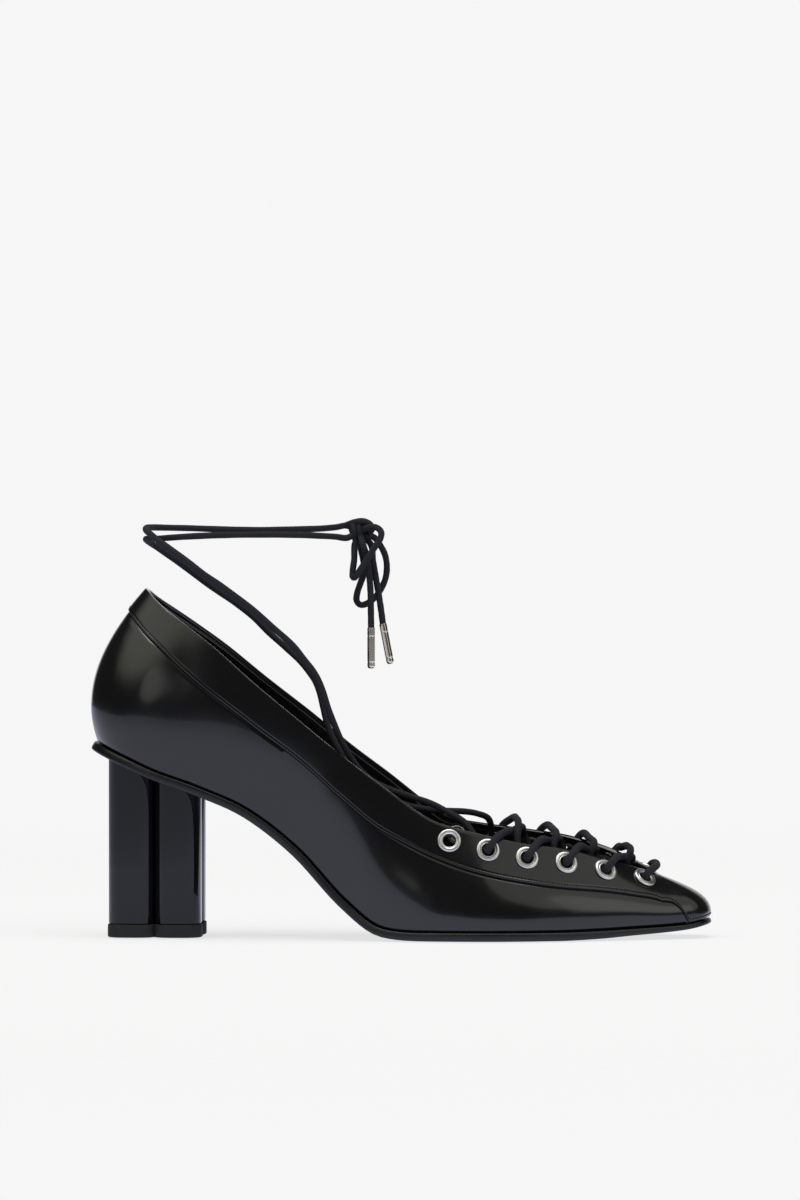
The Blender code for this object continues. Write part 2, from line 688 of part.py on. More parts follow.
def catmull(before, start, end, after, share):
    """Return a point between start and end on a curve that passes through its points evenly."""
    times = [0.0]
    for first, second in ((before, start), (start, end), (end, after)):
        times.append(times[-1] + max(WELD, math.sqrt((second - first).length)))
    moment = times[1] + (times[2] - times[1]) * share

    def blend(low, high, low_time, high_time):
        return low.lerp(high, (moment - low_time) / (high_time - low_time))

    first = blend(before, start, times[0], times[1])
    second = blend(start, end, times[1], times[2])
    third = blend(end, after, times[2], times[3])
    return blend(blend(first, second, times[0], times[2]), blend(second, third, times[1], times[3]),
                 times[1], times[2])


def cord_mesh(name, route, diameter):
    """Return a round cord along a route, closed at both ends."""
    curve = bpy.data.curves.new(name, "CURVE")
    curve.dimensions = "3D"
    curve.bevel_depth = diameter / 2
    curve.bevel_resolution = CORD_STEPS
    curve.use_fill_caps = True
    spline = curve.splines.new("POLY")
    spline.points.add(len(route) - 1)
    for point, place in zip(spline.points, route):
        point.co = (place.x, place.y, place.z, 1.0)
    return mesh_from_curve(curve, Matrix.Identity(4))


def edge_place(place):
    """Return the middle of the overlay's top edge at a place round the ring."""
    return offset_point(place, 1.0, (OVERLAY_STEP - WALL) / 2)


def edge_spot(place, spot):
    """Return a point beside the top edge at a place round the ring."""
    climb = (side_point(place, 1.0) - side_point(place, 1.0 - HEIGHT_NUDGE)).normalized()
    return edge_place(place) + spot.out * side_normal(place, 1.0) + spot.climb * climb


def span_spot(place, spot):
    """Return a point over the throat, from a place on one edge to its twin on the other."""
    middle = edge_place(place).lerp(edge_place(STATIONS - place), spot.across)
    return middle + Vector((0.0, 0.0, spot.lift))


def pass_points(start, end, row, over):
    """Return a strand's points over the throat, from one eyelet to the next row's other side."""
    def ahead(spot):
        return start.place + (STATIONS - end.place - start.place) * spot.ahead

    span = OVER_SPAN if over else UNDER_SPAN
    entry = OVER_ENTRY if over else UNDER_ENTRY
    drop = Vector((0.0, 0.0, ROW_DROPS[row - 1]))
    points = [edge_spot(ahead(spot), spot) for spot in LEAVING]
    points += [span_spot(ahead(spot), spot) - drop for spot in span]
    return points + [edge_spot(STATIONS - ahead(entry), entry)]


def bar_points(start, end):
    """Return the points of the bar between two eyelets' outsides."""
    return [start.lerp(end, row.across) + Vector((row.forward, 0.0, row.lift)) for row in TOE_BAR]


def outside_of(seat):
    """Return the point where a lace clears the eyelet's rim on the outside."""
    return seat.centre + LACE_CLEAR_OUT * seat.normal


def inside_of(seat):
    """Return the point where a lace turns behind the eyelet."""
    return seat.centre - LACE_CLEAR_IN * seat.normal


def middle_of(seat):
    """Return the middle of the eyelet's barrel."""
    return seat.centre - (WALL + OVERLAY_STEP) / 2 * seat.normal


def half_lacing(sides, side):
    """Return one strand's points, from behind the second eyelet of a side up to the toe's row."""
    points = [inside_of(sides[side][1]), middle_of(sides[side][1])]
    for row in range(1, EYELET_COUNT - 1):
        start = sides[side][row]
        end = sides[1 - side][row + 1]
        points.append(outside_of(start))
        points += pass_points(start, end, row, side == 1)
        points += [inside_of(end), middle_of(end)]
        side = 1 - side
    return points + [outside_of(sides[side][-1])]


def lacing_route(outer, inner):
    """Return the whole laced stretch, from behind the second eyelet to behind its twin.

    Each strand leaves an eyelet to the outside, crosses the throat and enters the next row from
    the inside, until a bar joins the two next to the toe.
    """
    sides = (outer, inner)
    first = half_lacing(sides, 0)
    second = half_lacing(sides, 1)
    return first + bar_points(first[-1], second[-1]) + second[::-1]


def knot_spot(place):
    """Return the point just off the knot's surface that faces a place."""
    centre = Vector(KNOT_PLACE)
    aim = (Vector(place) - centre).normalized()
    wide = 2 * math.hypot(aim.x, aim.y) / KNOT_WIDTH
    high = 2 * aim.z / KNOT_HEIGHT
    return centre + (1 / math.hypot(wide, high) + GAP) * aim


def tie_route(seat, places):
    """Return a tie's points, from beside the lacing's end behind its eyelet to the knot."""
    start = inside_of(seat)
    aim = (Vector(places[0]) - start).normalized()
    return [start + (LACE_DIAMETER / 2 + GAP) * aim] + places + [knot_spot(places[-1])]


def loop_route(places):
    """Return a loop's points, from the knot and back to it."""
    return [knot_spot(places[0])] + places + [knot_spot(places[-1])]


def end_route(places):
    """Return a loose end's points, from the knot to its aglet."""
    return [knot_spot(places[0])] + places


def build():
    """Make every piece of the shoe."""
    clear_scene()
    shoe = make_collection("lace_up_heel")
    cutters = make_collection("cutters")

    upper = add_object("upper", make_upper_mesh(), shoe, "upper_leather")
    add_object("outsole", make_plate_mesh(SOLE_LIP, 0.0, sole_depth), shoe, "sole_rubber")
    insole = make_plate_mesh(-(WALL + 2 * GAP), GAP + INSOLE_THICKNESS, insole_depth)
    add_object("insole", insole, shoe, "insole_leather")

    pillar = make_clover_mesh(0.0, LIFT_HEIGHT + GAP, SEAT_RISE + SOLE_THICKNESS)
    heel = add_object("heel", pillar, shoe, "heel_plastic")
    over_heel = make_plate_mesh(HEEL_SIZE / 2, HEEL_SIZE, cutter_depth)
    cut_with(heel, add_cutter("seat_cutter", over_heel, cutters))
    add_object("top_lift", make_clover_mesh(LIFT_LIP, 0.0, LIFT_HEIGHT), shoe, "lift_rubber")

    outer = [eyelet_seat(index, True) for index in range(EYELET_COUNT)]
    inner = [eyelet_seat(index, False) for index in range(EYELET_COUNT)]
    cut_with(upper, add_cutter("hole_cutter", hole_cutter_mesh(outer + inner), cutters))
    for side, seats in (("outer", outer), ("inner", inner)):
        for number, seat in enumerate(seats, start=1):
            ring = turned_mesh(eyelet_profile(), frame_at(seat.centre, seat.normal))
            add_object(f"eyelet_{side}_{number}", ring, shoe, "eyelet_metal")

    lacing = smooth_route(lacing_route(outer, inner), LACE_STEP)
    add_object("lacing", cord_mesh("lacing", lacing, LACE_DIAMETER), shoe, "lace_cord")
    cords = {
        "tie_outer": tie_route(outer[1], OUTER_TIE),
        "tie_inner": tie_route(inner[1], INNER_TIE),
        "bow_loop_1": loop_route(LOOP_ONE),
        "bow_loop_2": loop_route(LOOP_TWO),
        "lace_end_1": end_route(END_ONE),
        "lace_end_2": end_route(END_TWO),
    }
    for name, points in cords.items():
        mesh = cord_mesh(name, smooth_route(points, TIE_STEP), TIE_DIAMETER)
        add_object(name, mesh, shoe, "lace_cord")
    add_knot(shoe)
    add_aglet("aglet_1", END_ONE[-1], END_ONE_AIM, shoe)
    add_aglet("aglet_2", END_TWO[-1], END_TWO_AIM, shoe)


def add_knot(collection):
    """Add the bow's knot, a rounded lump where the strands meet."""
    work = bmesh.new()
    squash = Matrix.Diagonal((KNOT_WIDTH / 2, KNOT_WIDTH / 2, KNOT_HEIGHT / 2, 1.0))
    bmesh.ops.create_uvsphere(work, u_segments=ROUND_SIDES, v_segments=KNOT_RINGS, radius=1.0,
                              matrix=Matrix.Translation(KNOT_PLACE) @ squash)
    mesh = bpy.data.meshes.new("bow_knot")
    work.to_mesh(mesh)
    work.free()
    add_object("bow_knot", mesh, collection, "lace_cord")


def add_aglet(name, end, aim, collection):
    """Add the metal tube that closes a lace's end."""
    axis = Vector(aim).normalized()
    centre = Vector(end) + (GAP + AGLET_LENGTH / 2) * axis
    work = bmesh.new()
    bmesh.ops.create_cone(work, cap_ends=True, segments=ROUND_SIDES, radius1=AGLET_DIAMETER / 2,
                          radius2=AGLET_DIAMETER / 2, depth=AGLET_LENGTH,
                          matrix=frame_at(centre, axis))
    mesh = bpy.data.meshes.new(name)
    work.to_mesh(mesh)
    work.free()
    add_object(name, mesh, collection, "aglet_metal")


build()
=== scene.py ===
"""Looks of a lace-up court shoe for the right foot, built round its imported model.

Metres, +Z up. The toe points to +X and the outer side of the foot to -Y. The origin is the
middle of the heel's flat underside, and the floor is Z = 0. Every leather piece is read from one
last, the form of the foot, by a place round the shoe and a height up its side. Places run from 0
at the back of the heel, down the outer side to the tip of the toe, and back up the inner side.
"""

import bisect
import json
import logging
import math
from dataclasses import dataclass, field
from enum import Enum
from typing import Callable, Iterable, NamedTuple, Sequence

import bmesh
import bpy
from mathutils import Matrix, Vector
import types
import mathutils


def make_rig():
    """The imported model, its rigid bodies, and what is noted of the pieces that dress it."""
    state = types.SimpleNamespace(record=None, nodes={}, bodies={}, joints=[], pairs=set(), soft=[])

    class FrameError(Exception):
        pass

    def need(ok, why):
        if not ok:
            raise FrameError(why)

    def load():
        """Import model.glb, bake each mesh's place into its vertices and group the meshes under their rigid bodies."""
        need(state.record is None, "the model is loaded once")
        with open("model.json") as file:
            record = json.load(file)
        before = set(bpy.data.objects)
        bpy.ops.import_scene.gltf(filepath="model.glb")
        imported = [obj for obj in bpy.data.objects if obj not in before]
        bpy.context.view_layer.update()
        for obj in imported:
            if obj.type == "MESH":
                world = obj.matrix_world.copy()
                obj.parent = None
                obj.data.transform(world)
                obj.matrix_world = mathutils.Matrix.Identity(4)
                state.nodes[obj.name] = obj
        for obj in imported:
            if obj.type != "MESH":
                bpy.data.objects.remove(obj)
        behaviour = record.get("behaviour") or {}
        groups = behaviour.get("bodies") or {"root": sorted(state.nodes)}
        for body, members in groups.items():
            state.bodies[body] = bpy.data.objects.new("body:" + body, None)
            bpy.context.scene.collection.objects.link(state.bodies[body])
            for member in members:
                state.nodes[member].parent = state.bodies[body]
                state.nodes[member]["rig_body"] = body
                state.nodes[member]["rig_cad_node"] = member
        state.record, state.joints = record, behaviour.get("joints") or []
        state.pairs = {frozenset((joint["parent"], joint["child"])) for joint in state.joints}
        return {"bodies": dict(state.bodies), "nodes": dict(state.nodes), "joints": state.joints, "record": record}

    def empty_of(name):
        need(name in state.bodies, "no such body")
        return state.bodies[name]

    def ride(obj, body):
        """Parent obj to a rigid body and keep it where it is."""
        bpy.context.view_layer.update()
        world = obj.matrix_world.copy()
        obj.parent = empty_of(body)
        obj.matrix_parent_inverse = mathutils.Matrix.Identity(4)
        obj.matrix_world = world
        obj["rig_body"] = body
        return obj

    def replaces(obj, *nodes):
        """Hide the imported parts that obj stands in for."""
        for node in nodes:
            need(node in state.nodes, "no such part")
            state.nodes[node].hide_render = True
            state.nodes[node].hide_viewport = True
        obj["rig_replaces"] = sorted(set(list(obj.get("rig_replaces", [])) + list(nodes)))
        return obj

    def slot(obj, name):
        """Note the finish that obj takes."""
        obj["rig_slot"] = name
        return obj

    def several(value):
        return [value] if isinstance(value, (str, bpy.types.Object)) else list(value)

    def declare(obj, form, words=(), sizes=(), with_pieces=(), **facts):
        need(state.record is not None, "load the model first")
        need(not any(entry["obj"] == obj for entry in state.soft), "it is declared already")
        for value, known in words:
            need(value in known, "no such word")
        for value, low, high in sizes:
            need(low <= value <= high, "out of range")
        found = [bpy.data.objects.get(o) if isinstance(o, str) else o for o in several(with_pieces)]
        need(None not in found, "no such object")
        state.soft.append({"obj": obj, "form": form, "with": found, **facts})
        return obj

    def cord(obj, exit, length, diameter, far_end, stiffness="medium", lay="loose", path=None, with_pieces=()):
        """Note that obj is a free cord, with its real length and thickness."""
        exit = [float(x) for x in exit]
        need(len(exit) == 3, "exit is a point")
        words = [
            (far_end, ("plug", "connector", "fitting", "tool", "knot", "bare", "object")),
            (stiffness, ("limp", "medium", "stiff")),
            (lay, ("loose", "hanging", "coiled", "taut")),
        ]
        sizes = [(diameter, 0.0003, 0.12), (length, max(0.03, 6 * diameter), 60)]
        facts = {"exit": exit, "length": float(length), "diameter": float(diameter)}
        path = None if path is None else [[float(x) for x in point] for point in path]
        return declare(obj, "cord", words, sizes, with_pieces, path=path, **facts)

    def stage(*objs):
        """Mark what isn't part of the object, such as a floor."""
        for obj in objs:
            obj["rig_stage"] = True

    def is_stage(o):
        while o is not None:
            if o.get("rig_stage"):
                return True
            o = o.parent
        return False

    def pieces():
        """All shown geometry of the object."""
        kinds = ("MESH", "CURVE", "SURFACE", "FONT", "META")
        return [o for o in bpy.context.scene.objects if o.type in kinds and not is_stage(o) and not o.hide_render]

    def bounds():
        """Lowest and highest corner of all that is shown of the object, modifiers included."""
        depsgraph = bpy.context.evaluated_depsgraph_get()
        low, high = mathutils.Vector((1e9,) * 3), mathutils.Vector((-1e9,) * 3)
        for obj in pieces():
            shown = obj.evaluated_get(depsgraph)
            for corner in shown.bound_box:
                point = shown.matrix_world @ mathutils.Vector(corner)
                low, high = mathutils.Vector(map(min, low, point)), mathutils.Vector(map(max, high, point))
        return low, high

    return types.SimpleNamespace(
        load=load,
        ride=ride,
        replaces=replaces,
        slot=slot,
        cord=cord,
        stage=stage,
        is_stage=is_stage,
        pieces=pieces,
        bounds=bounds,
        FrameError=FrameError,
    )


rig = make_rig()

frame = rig.load()
CAD_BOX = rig.bounds()

log = logging.getLogger("lace_up_heel")

MM = 0.001
HALVINGS = 30
PLACE_DIGITS = 5
WELD_DISTANCE = 0.00001
SLIVER_PART = 10
SMOOTH_ANGLE = 40.0
SHORTEST_TIME = 1e-6
SHORTEST_SPAN = 1e-9
UP = Vector((0.0, 0.0, 1.0))

Point = tuple[float, float, float]
Face = tuple[int, ...]


# Sections of the last


class Section(NamedTuple):
    """One section of the last, in shares of the last's named sizes, with leans in degrees."""

    along: float
    outer: float
    inner: float
    rise: float
    thick: float
    top_along: float
    top_outer: float
    top_inner: float
    top_height: float
    raised: float
    lean_low: float
    lean_top: float
    seam: float


SECTIONS = (
    Section(0.0100, 0.000, 0.000, 1.000, 1.00, 0.0904, 0.000, 0.000, 1.000, 0.0, 20, 42, 0.87),
    Section(0.0144, 0.111, 0.111, 0.993, 1.00, 0.0936, 0.059, 0.059, 0.996, 0.0, 20, 41, 0.86),
    Section(0.0320, 0.209, 0.209, 0.967, 1.00, 0.1060, 0.131, 0.131, 0.974, 0.0, 18, 36, 0.84),
    Section(0.0640, 0.285, 0.285, 0.920, 1.00, 0.1300, 0.209, 0.209, 0.939, 0.1, 15, 30, 0.81),
    Section(0.1120, 0.327, 0.327, 0.849, 1.00, 0.1640, 0.268, 0.268, 0.894, 0.15, 11, 22, 0.77),
    Section(0.1800, 0.337, 0.327, 0.768, 1.00, 0.2120, 0.320, 0.314, 0.828, 0.25, 9, 16, 0.73),
    Section(0.2600, 0.327, 0.301, 0.647, 1.00, 0.2760, 0.353, 0.340, 0.728, 0.5, 8, 11, 0.72),
    Section(0.3400, 0.314, 0.255, 0.439, 1.00, 0.3460, 0.373, 0.353, 0.626, 0.7, 9, 8, 0.745),
    Section(0.4160, 0.340, 0.242, 0.166, 1.00, 0.4140, 0.379, 0.359, 0.527, 0.7, 10, 8, 0.755),
    Section(0.4800, 0.405, 0.281, 0.016, 1.00, 0.4750, 0.379, 0.359, 0.4455, 0.7, 10, 9, 0.74),
    Section(0.5440, 0.464, 0.366, 0.000, 1.00, 0.5390, 0.373, 0.359, 0.363, 0.4, 12, 12, 0.735),
    Section(0.5840, 0.481, 0.405, 0.000, 1.00, 0.5740, 0.366, 0.359, 0.3325, 0.15, 10, 15, 0.71),
    Section(0.6400, 0.484, 0.444, 0.000, 1.00, 0.6320, 0.346, 0.359, 0.304, 0.5, 10, 19, 0.65),
    Section(0.7040, 0.451, 0.464, 0.000, 1.00, 0.7000, 0.307, 0.340, 0.276, 1.0, 12, 22, 0.61),
    Section(0.7600, 0.392, 0.448, 0.000, 1.00, 0.7600, 0.248, 0.314, 0.260, 1.0, 14, 26, 0.575),
    Section(0.8240, 0.305, 0.405, 0.005, 0.95, 0.8160, 0.163, 0.268, 0.236, 0.9, 18, 33, 0.57),
    Section(0.8800, 0.209, 0.353, 0.012, 0.80, 0.8600, 0.078, 0.209, 0.210, 0.7, 22, 43, 0.54),
    Section(0.9280, 0.131, 0.307, 0.019, 0.70, 0.8870, 0.007, 0.154, 0.1925, 0.4, 24, 54, 0.44),
    Section(0.9640, 0.072, 0.272, 0.029, 0.63, 0.9000, -0.039, 0.115, 0.183, 0.2, 24, 63, 0.03),
    Section(0.9850, 0.013, 0.229, 0.043, 0.60, 0.9044, -0.060, 0.0915, 0.1805, 0.0, 22, 67, 0.03),
    Section(0.9940, -0.111, 0.111, 0.051, 0.60, 0.9056, -0.076, 0.076, 0.1795, 0.0, 20, 68, 0.03),
)
TOE_PLACE = len(SECTIONS) - 1
STATIONS = 2 * TOE_PLACE


class Side(Enum):
    """The two sides of the shoe, as the sign of Y."""

    OUTER = -1
    INNER = 1


@dataclass
class Last:
    """The form of the foot that the upper, the insole and the sole all follow.

    Curves at a place and the sole's profile are kept once they have been worked out, because the
    pieces ask for them thousands of times.
    """

    length: float = 0.250
    ball_width: float = 0.0765
    seat_rise: float = 0.0747
    collar_height: float = 0.1398
    inner_raise: float = 0.0035
    setback: float = 0.0265
    sole_thickness: float = 0.0034
    wall: float = 0.0018
    overlay_step: float = 0.0009
    gap: float = 0.0003
    handle_low: float = 0.33
    handle_top: float = 0.46
    nudge: float = 0.04
    height_nudge: float = 0.02
    profile_steps: int = 1600
    corner_section: int = 17
    corner_sharpness: float = 2.6
    rings: dict[str, list[float]] = field(default_factory=dict, init=False)
    curves: dict[float, tuple[Vector, Vector, Vector, Vector]] = field(default_factory=dict, init=False)
    profile: list[tuple[float, float]] = field(default_factory=list, init=False)

    def __post_init__(self) -> None:
        """Work out the rings of values round the shoe and the sole's profile."""
        def both(value: Callable[[Section], float]) -> list[float]:
            """Return a ring with the same value on both sides."""
            return self.ring(value, value)

        self.rings = {
            "foot_x": both(lambda row: self.along(row.along)),
            "foot_y": self.ring(lambda row: -row.outer * self.ball_width,
                                lambda row: row.inner * self.ball_width),
            "foot_z": both(lambda row: self.sole_thickness + row.rise * self.seat_rise),
            "top_x": both(lambda row: self.along(row.top_along)),
            "top_y": self.ring(lambda row: -row.top_outer * self.ball_width,
                               lambda row: row.top_inner * self.ball_width),
            "top_z": self.ring(lambda row: row.top_height * self.collar_height,
                               lambda row: row.top_height * self.collar_height
                               + row.raised * self.inner_raise),
            "lean_low": both(lambda row: math.radians(row.lean_low)),
            "lean_top": both(lambda row: math.radians(row.lean_top)),
            "seam": both(lambda row: row.seam),
            "thick": both(lambda row: row.thick * self.sole_thickness),
        }
        for step in range(self.profile_steps + 1):
            place = TOE_PLACE * step / self.profile_steps
            self.profile.append((self.read("foot_x", place), self.read("foot_z", place)))

    def ring(self, outer: Callable[[Section], float], inner: Callable[[Section], float]) -> list[float]:
        """Return one value for each station, down the outer side and back up the inner."""
        return [outer(row) for row in SECTIONS] + [inner(row) for row in SECTIONS[1:-1]][::-1]

    def along(self, share: float) -> float:
        """Return the place along the shoe of a share of its length."""
        return share * self.length - self.setback

    def read(self, name: str, place: float) -> float:
        """Return a ring's value at any place, on a smooth curve through its stations.

        Args:
            name: The ring's name.
            place: The place round the shoe, where whole numbers are stations.

        Returns:
            The value, which never overshoots the stations beside it.
        """
        values = self.rings[name]
        start = math.floor(place)
        share = place - start
        first = values[start % STATIONS]
        second = values[(start + 1) % STATIONS]
        square = share * share
        cube = square * share
        return (first * (2 * cube - 3 * square + 1)
                + self.slope(values, start) * (cube - 2 * square + share)
                + second * (3 * square - 2 * cube)
                + self.slope(values, start + 1) * (cube - square))

    @staticmethod
    def slope(values: list[float], index: int) -> float:
        """Return the slope at a station, level at a crest and never steep enough to overshoot.

        Args:
            values: The ring's values, one for each station.
            index: The station's number.

        Returns:
            The slope for one step round the ring.
        """
        before = values[index % STATIONS] - values[(index - 1) % STATIONS]
        after = values[(index + 1) % STATIONS] - values[index % STATIONS]
        if before * after <= 0:
            return 0.0
        limit = 3 * min(abs(before), abs(after))
        return math.copysign(min(abs(before + after) / 2, limit), before)

    def foot(self, place: float) -> Vector:
        """Return the point of the sole's top edge at a place."""
        return Vector((self.read("foot_x", place), self.read("foot_y", place),
                       self.read("foot_z", place)))

    def top(self, place: float) -> Vector:
        """Return the point of the upper's top edge at a place."""
        return Vector((self.read("top_x", place), self.read("top_y", place),
                       self.read("top_z", place)))

    def outward(self, curve: Callable[[float], Vector], place: float) -> Vector:
        """Return the level direction out of the shoe, square to a ring curve."""
        run = curve(place + self.nudge) - curve(place - self.nudge)
        return Vector((run.y, -run.x, 0.0)).normalized()

    def sole_point(self, x: float, y: float, lift: float) -> Vector:
        """Return the point that stands a distance off the sole's top.

        Args:
            x: The place along the shoe.
            y: The place across the shoe.
            lift: The distance off the sole's top, square to it.

        Returns:
            The point in the shoe.
        """
        index = bisect.bisect_left(self.profile, (x, 0.0))
        index = min(max(index, 1), len(self.profile) - 1)
        low, high = self.profile[index - 1], self.profile[index]
        run = high[0] - low[0]
        climb = high[1] - low[1]
        height = low[1] + climb * (x - low[0]) / run
        size = math.hypot(run, climb)
        return Vector((x - lift * climb / size, y, height + lift * run / size))

    def plan_offset(self, place: float, distance: float, lift: float) -> Vector:
        """Return a point a distance out of the sole's edge in plan and a lift off its top."""
        edge = self.foot(place) + distance * self.outward(self.foot, place)
        return self.sole_point(edge.x, edge.y, lift)

    def section_curve(self, place: float) -> tuple[Vector, Vector, Vector, Vector]:
        """Return the four control points of the last's side at a place.

        Args:
            place: The place round the shoe.

        Returns:
            The curve's two ends with their two handles between them.
        """
        key = round(place % STATIONS, PLACE_DIGITS)
        if key not in self.curves:
            foot = self.plan_offset(place, 0.0, self.gap)
            top = self.top(place)
            reach = (top - foot).length
            low = self.read("lean_low", place)
            high = self.read("lean_top", place)
            low_aim = math.sin(low) * self.outward(self.foot, place) + math.cos(low) * UP
            top_aim = math.cos(high) * UP - math.sin(high) * self.outward(self.top, place)
            self.curves[key] = (foot, foot + self.handle_low * reach * low_aim,
                                top - self.handle_top * reach * top_aim, top)
        return self.curves[key]

    def side(self, place: float, height: float) -> Vector:
        """Return a point of the last's side, with height from 0 at the sole to 1 at the top.

        Args:
            place: The place round the shoe.
            height: The height on the side, from 0 at the sole to 1 at the top.

        Returns:
            The point.
        """
        foot, low, high, top = self.section_curve(place)
        rest = 1 - height
        return (rest ** 3 * foot + 3 * rest * rest * height * low
                + 3 * rest * height * height * high + height ** 3 * top)

    def normal(self, place: float, height: float) -> Vector:
        """Return the direction out of the last's side.

        Args:
            place: The place round the shoe.
            height: The height on the side, from 0 at the sole to 1 at the top.

        Returns:
            The direction, one metre long.
        """
        low = max(0.0, height - self.height_nudge)
        high = min(1.0, height + self.height_nudge)
        run = self.side(place + self.nudge, height) - self.side(place - self.nudge, height)
        climb = self.side(place, high) - self.side(place, low)
        return run.cross(climb).normalized()

    def offset(self, place: float, height: float, distance: float) -> Vector:
        """Return a point that stands a distance out of the last's side, or into it.

        Args:
            place: The place round the shoe.
            height: The height on the side, from 0 at the sole to 1 at the top.
            distance: How far out the point stands, below 0 for inwards.

        Returns:
            The point.
        """
        if height <= 0:
            return self.plan_offset(place, distance, self.gap)
        return self.side(place, height) + distance * self.normal(place, height)

    def climb_rate(self, place: float, height: float) -> float:
        """Return the metres that one unit of height covers, next to a height.

        Args:
            place: The place round the shoe.
            height: The height on the side, from 0 at the sole to 1 at the top.

        Returns:
            The metres for one unit of height.
        """
        low = max(0.0, height - self.height_nudge)
        high = min(1.0, height + self.height_nudge)
        return (self.side(place, high) - self.side(place, low)).length / (high - low)

    def seam(self, place: float) -> float:
        """Return the height of the overlay's lower edge, which turns a corner before the toe.

        Args:
            place: The place round the shoe.

        Returns:
            The height, from 0 at the sole to 1 at the top.
        """
        from_heel = min(place % STATIONS, STATIONS - place % STATIONS)
        section = math.floor(from_heel)
        if section == self.corner_section:
            from_heel = section + (from_heel - section) ** self.corner_sharpness
        return self.read("seam", from_heel)

    def inset_height(self, place: float, inset: float) -> float:
        """Return the height on the side that lies an inset below the top edge.

        Args:
            place: The place round the shoe.
            inset: The distance from the top edge, in metres.

        Returns:
            The height, from 0 at the sole to 1 at the top.
        """
        top = self.side(place, 1.0)
        low, high = 0.0, 1.0
        for _ in range(HALVINGS):
            middle = (low + high) / 2
            if (self.side(place, middle) - top).length > inset:
                low = middle
            else:
                high = middle
        return (low + high) / 2

    def edge(self, place: float) -> Vector:
        """Return the middle of the overlay's top edge."""
        return self.offset(place, 1.0, (self.overlay_step - self.wall) / 2)


# Mesh helpers


def weld(mesh: bpy.types.Mesh, distance: float = WELD_DISTANCE) -> bpy.types.Mesh:
    """Merge a mesh's doubled points and turn its faces outwards.

    Args:
        mesh: The mesh, which is changed.
        distance: How near two points must be to become one.

    Returns:
        The same mesh.
    """
    work = bmesh.new()
    work.from_mesh(mesh)
    bmesh.ops.remove_doubles(work, verts=work.verts, dist=distance)
    bmesh.ops.dissolve_degenerate(work, edges=work.edges, dist=distance / SLIVER_PART)
    bmesh.ops.recalc_face_normals(work, faces=work.faces)
    work.to_mesh(mesh)
    work.free()
    return mesh


def mesh_of(name: str, points: Sequence[Vector], faces: Sequence[Face],
            parts: Sequence[int] = ()) -> bpy.types.Mesh:
    """Return a welded mesh with its faces pointing out.

    Args:
        name: The mesh's name.
        points: Its points.
        faces: Its faces, as places in points.
        parts: The material slot of each face, or nothing where there is one slot.

    Returns:
        The mesh.
    """
    mesh = bpy.data.meshes.new(name)
    mesh.from_pydata([tuple(point) for point in points], [], list(faces))
    if parts:
        mesh.polygons.foreach_set("material_index", list(parts))
    return weld(mesh)


def add_piece(name: str, mesh: bpy.types.Mesh, materials: Sequence[bpy.types.Material],
              smooth_angle: float = SMOOTH_ANGLE) -> bpy.types.Object:
    """Put a mesh into the scene as a named piece, shaded smooth, with its materials.

    Args:
        name: The piece's name.
        mesh: Its mesh.
        materials: Its materials, in the order of their slots.
        smooth_angle: The angle in degrees above which an edge stays sharp.

    Returns:
        The piece.
    """
    mesh.name = name
    obj = bpy.data.objects.new(name, mesh)
    bpy.context.scene.collection.objects.link(obj)
    mesh.materials.clear()
    for material in materials:
        mesh.materials.append(material)
    mesh.shade_smooth()
    mesh.set_sharp_from_angle(angle=math.radians(smooth_angle))
    return obj


def loft(rows: Sequence[Sequence[Vector]], close_rows: bool,
         close_loop: bool) -> tuple[list[Vector], list[Face]]:
    """Return the points and faces of a surface through rows of equally many points.

    Args:
        rows: The rows, in order.
        close_rows: Whether the last row joins the first.
        close_loop: Whether each row's last point joins its first.

    Returns:
        The points, and the faces between them.
    """
    width = len(rows[0])
    points = [point for row in rows for point in row]
    faces: list[Face] = []
    for row in range(len(rows) if close_rows else len(rows) - 1):
        here = row * width
        there = (row + 1) % len(rows) * width
        for column in range(width if close_loop else width - 1):
            after = (column + 1) % width
            faces.append((here + column, there + column, there + after, here + after))
    return points, faces


def frame_at(centre: Vector, axis: Vector) -> Matrix:
    """Return the matrix that turns +Z to an axis and moves the origin to a centre."""
    return Matrix.Translation(centre) @ axis.to_track_quat("Z", "X").to_matrix().to_4x4()


def turned(name: str, profile: Sequence[tuple[float, float]], sides: int,
           closed: bool) -> bpy.types.Mesh:
    """Return a shape turned about Z from a profile of radii and heights.

    Args:
        name: The mesh's name.
        profile: Its radii and heights, in metres.
        sides: How many flat sides the round has.
        closed: Whether the profile's end joins its start.

    Returns:
        The welded mesh.
    """
    rows = []
    for side in range(sides):
        angle = 2 * math.pi * side / sides
        rows.append([Vector((radius * math.cos(angle), radius * math.sin(angle), height))
                     for radius, height in profile])
    points, faces = loft(rows, True, closed)
    return mesh_of(name, points, faces)


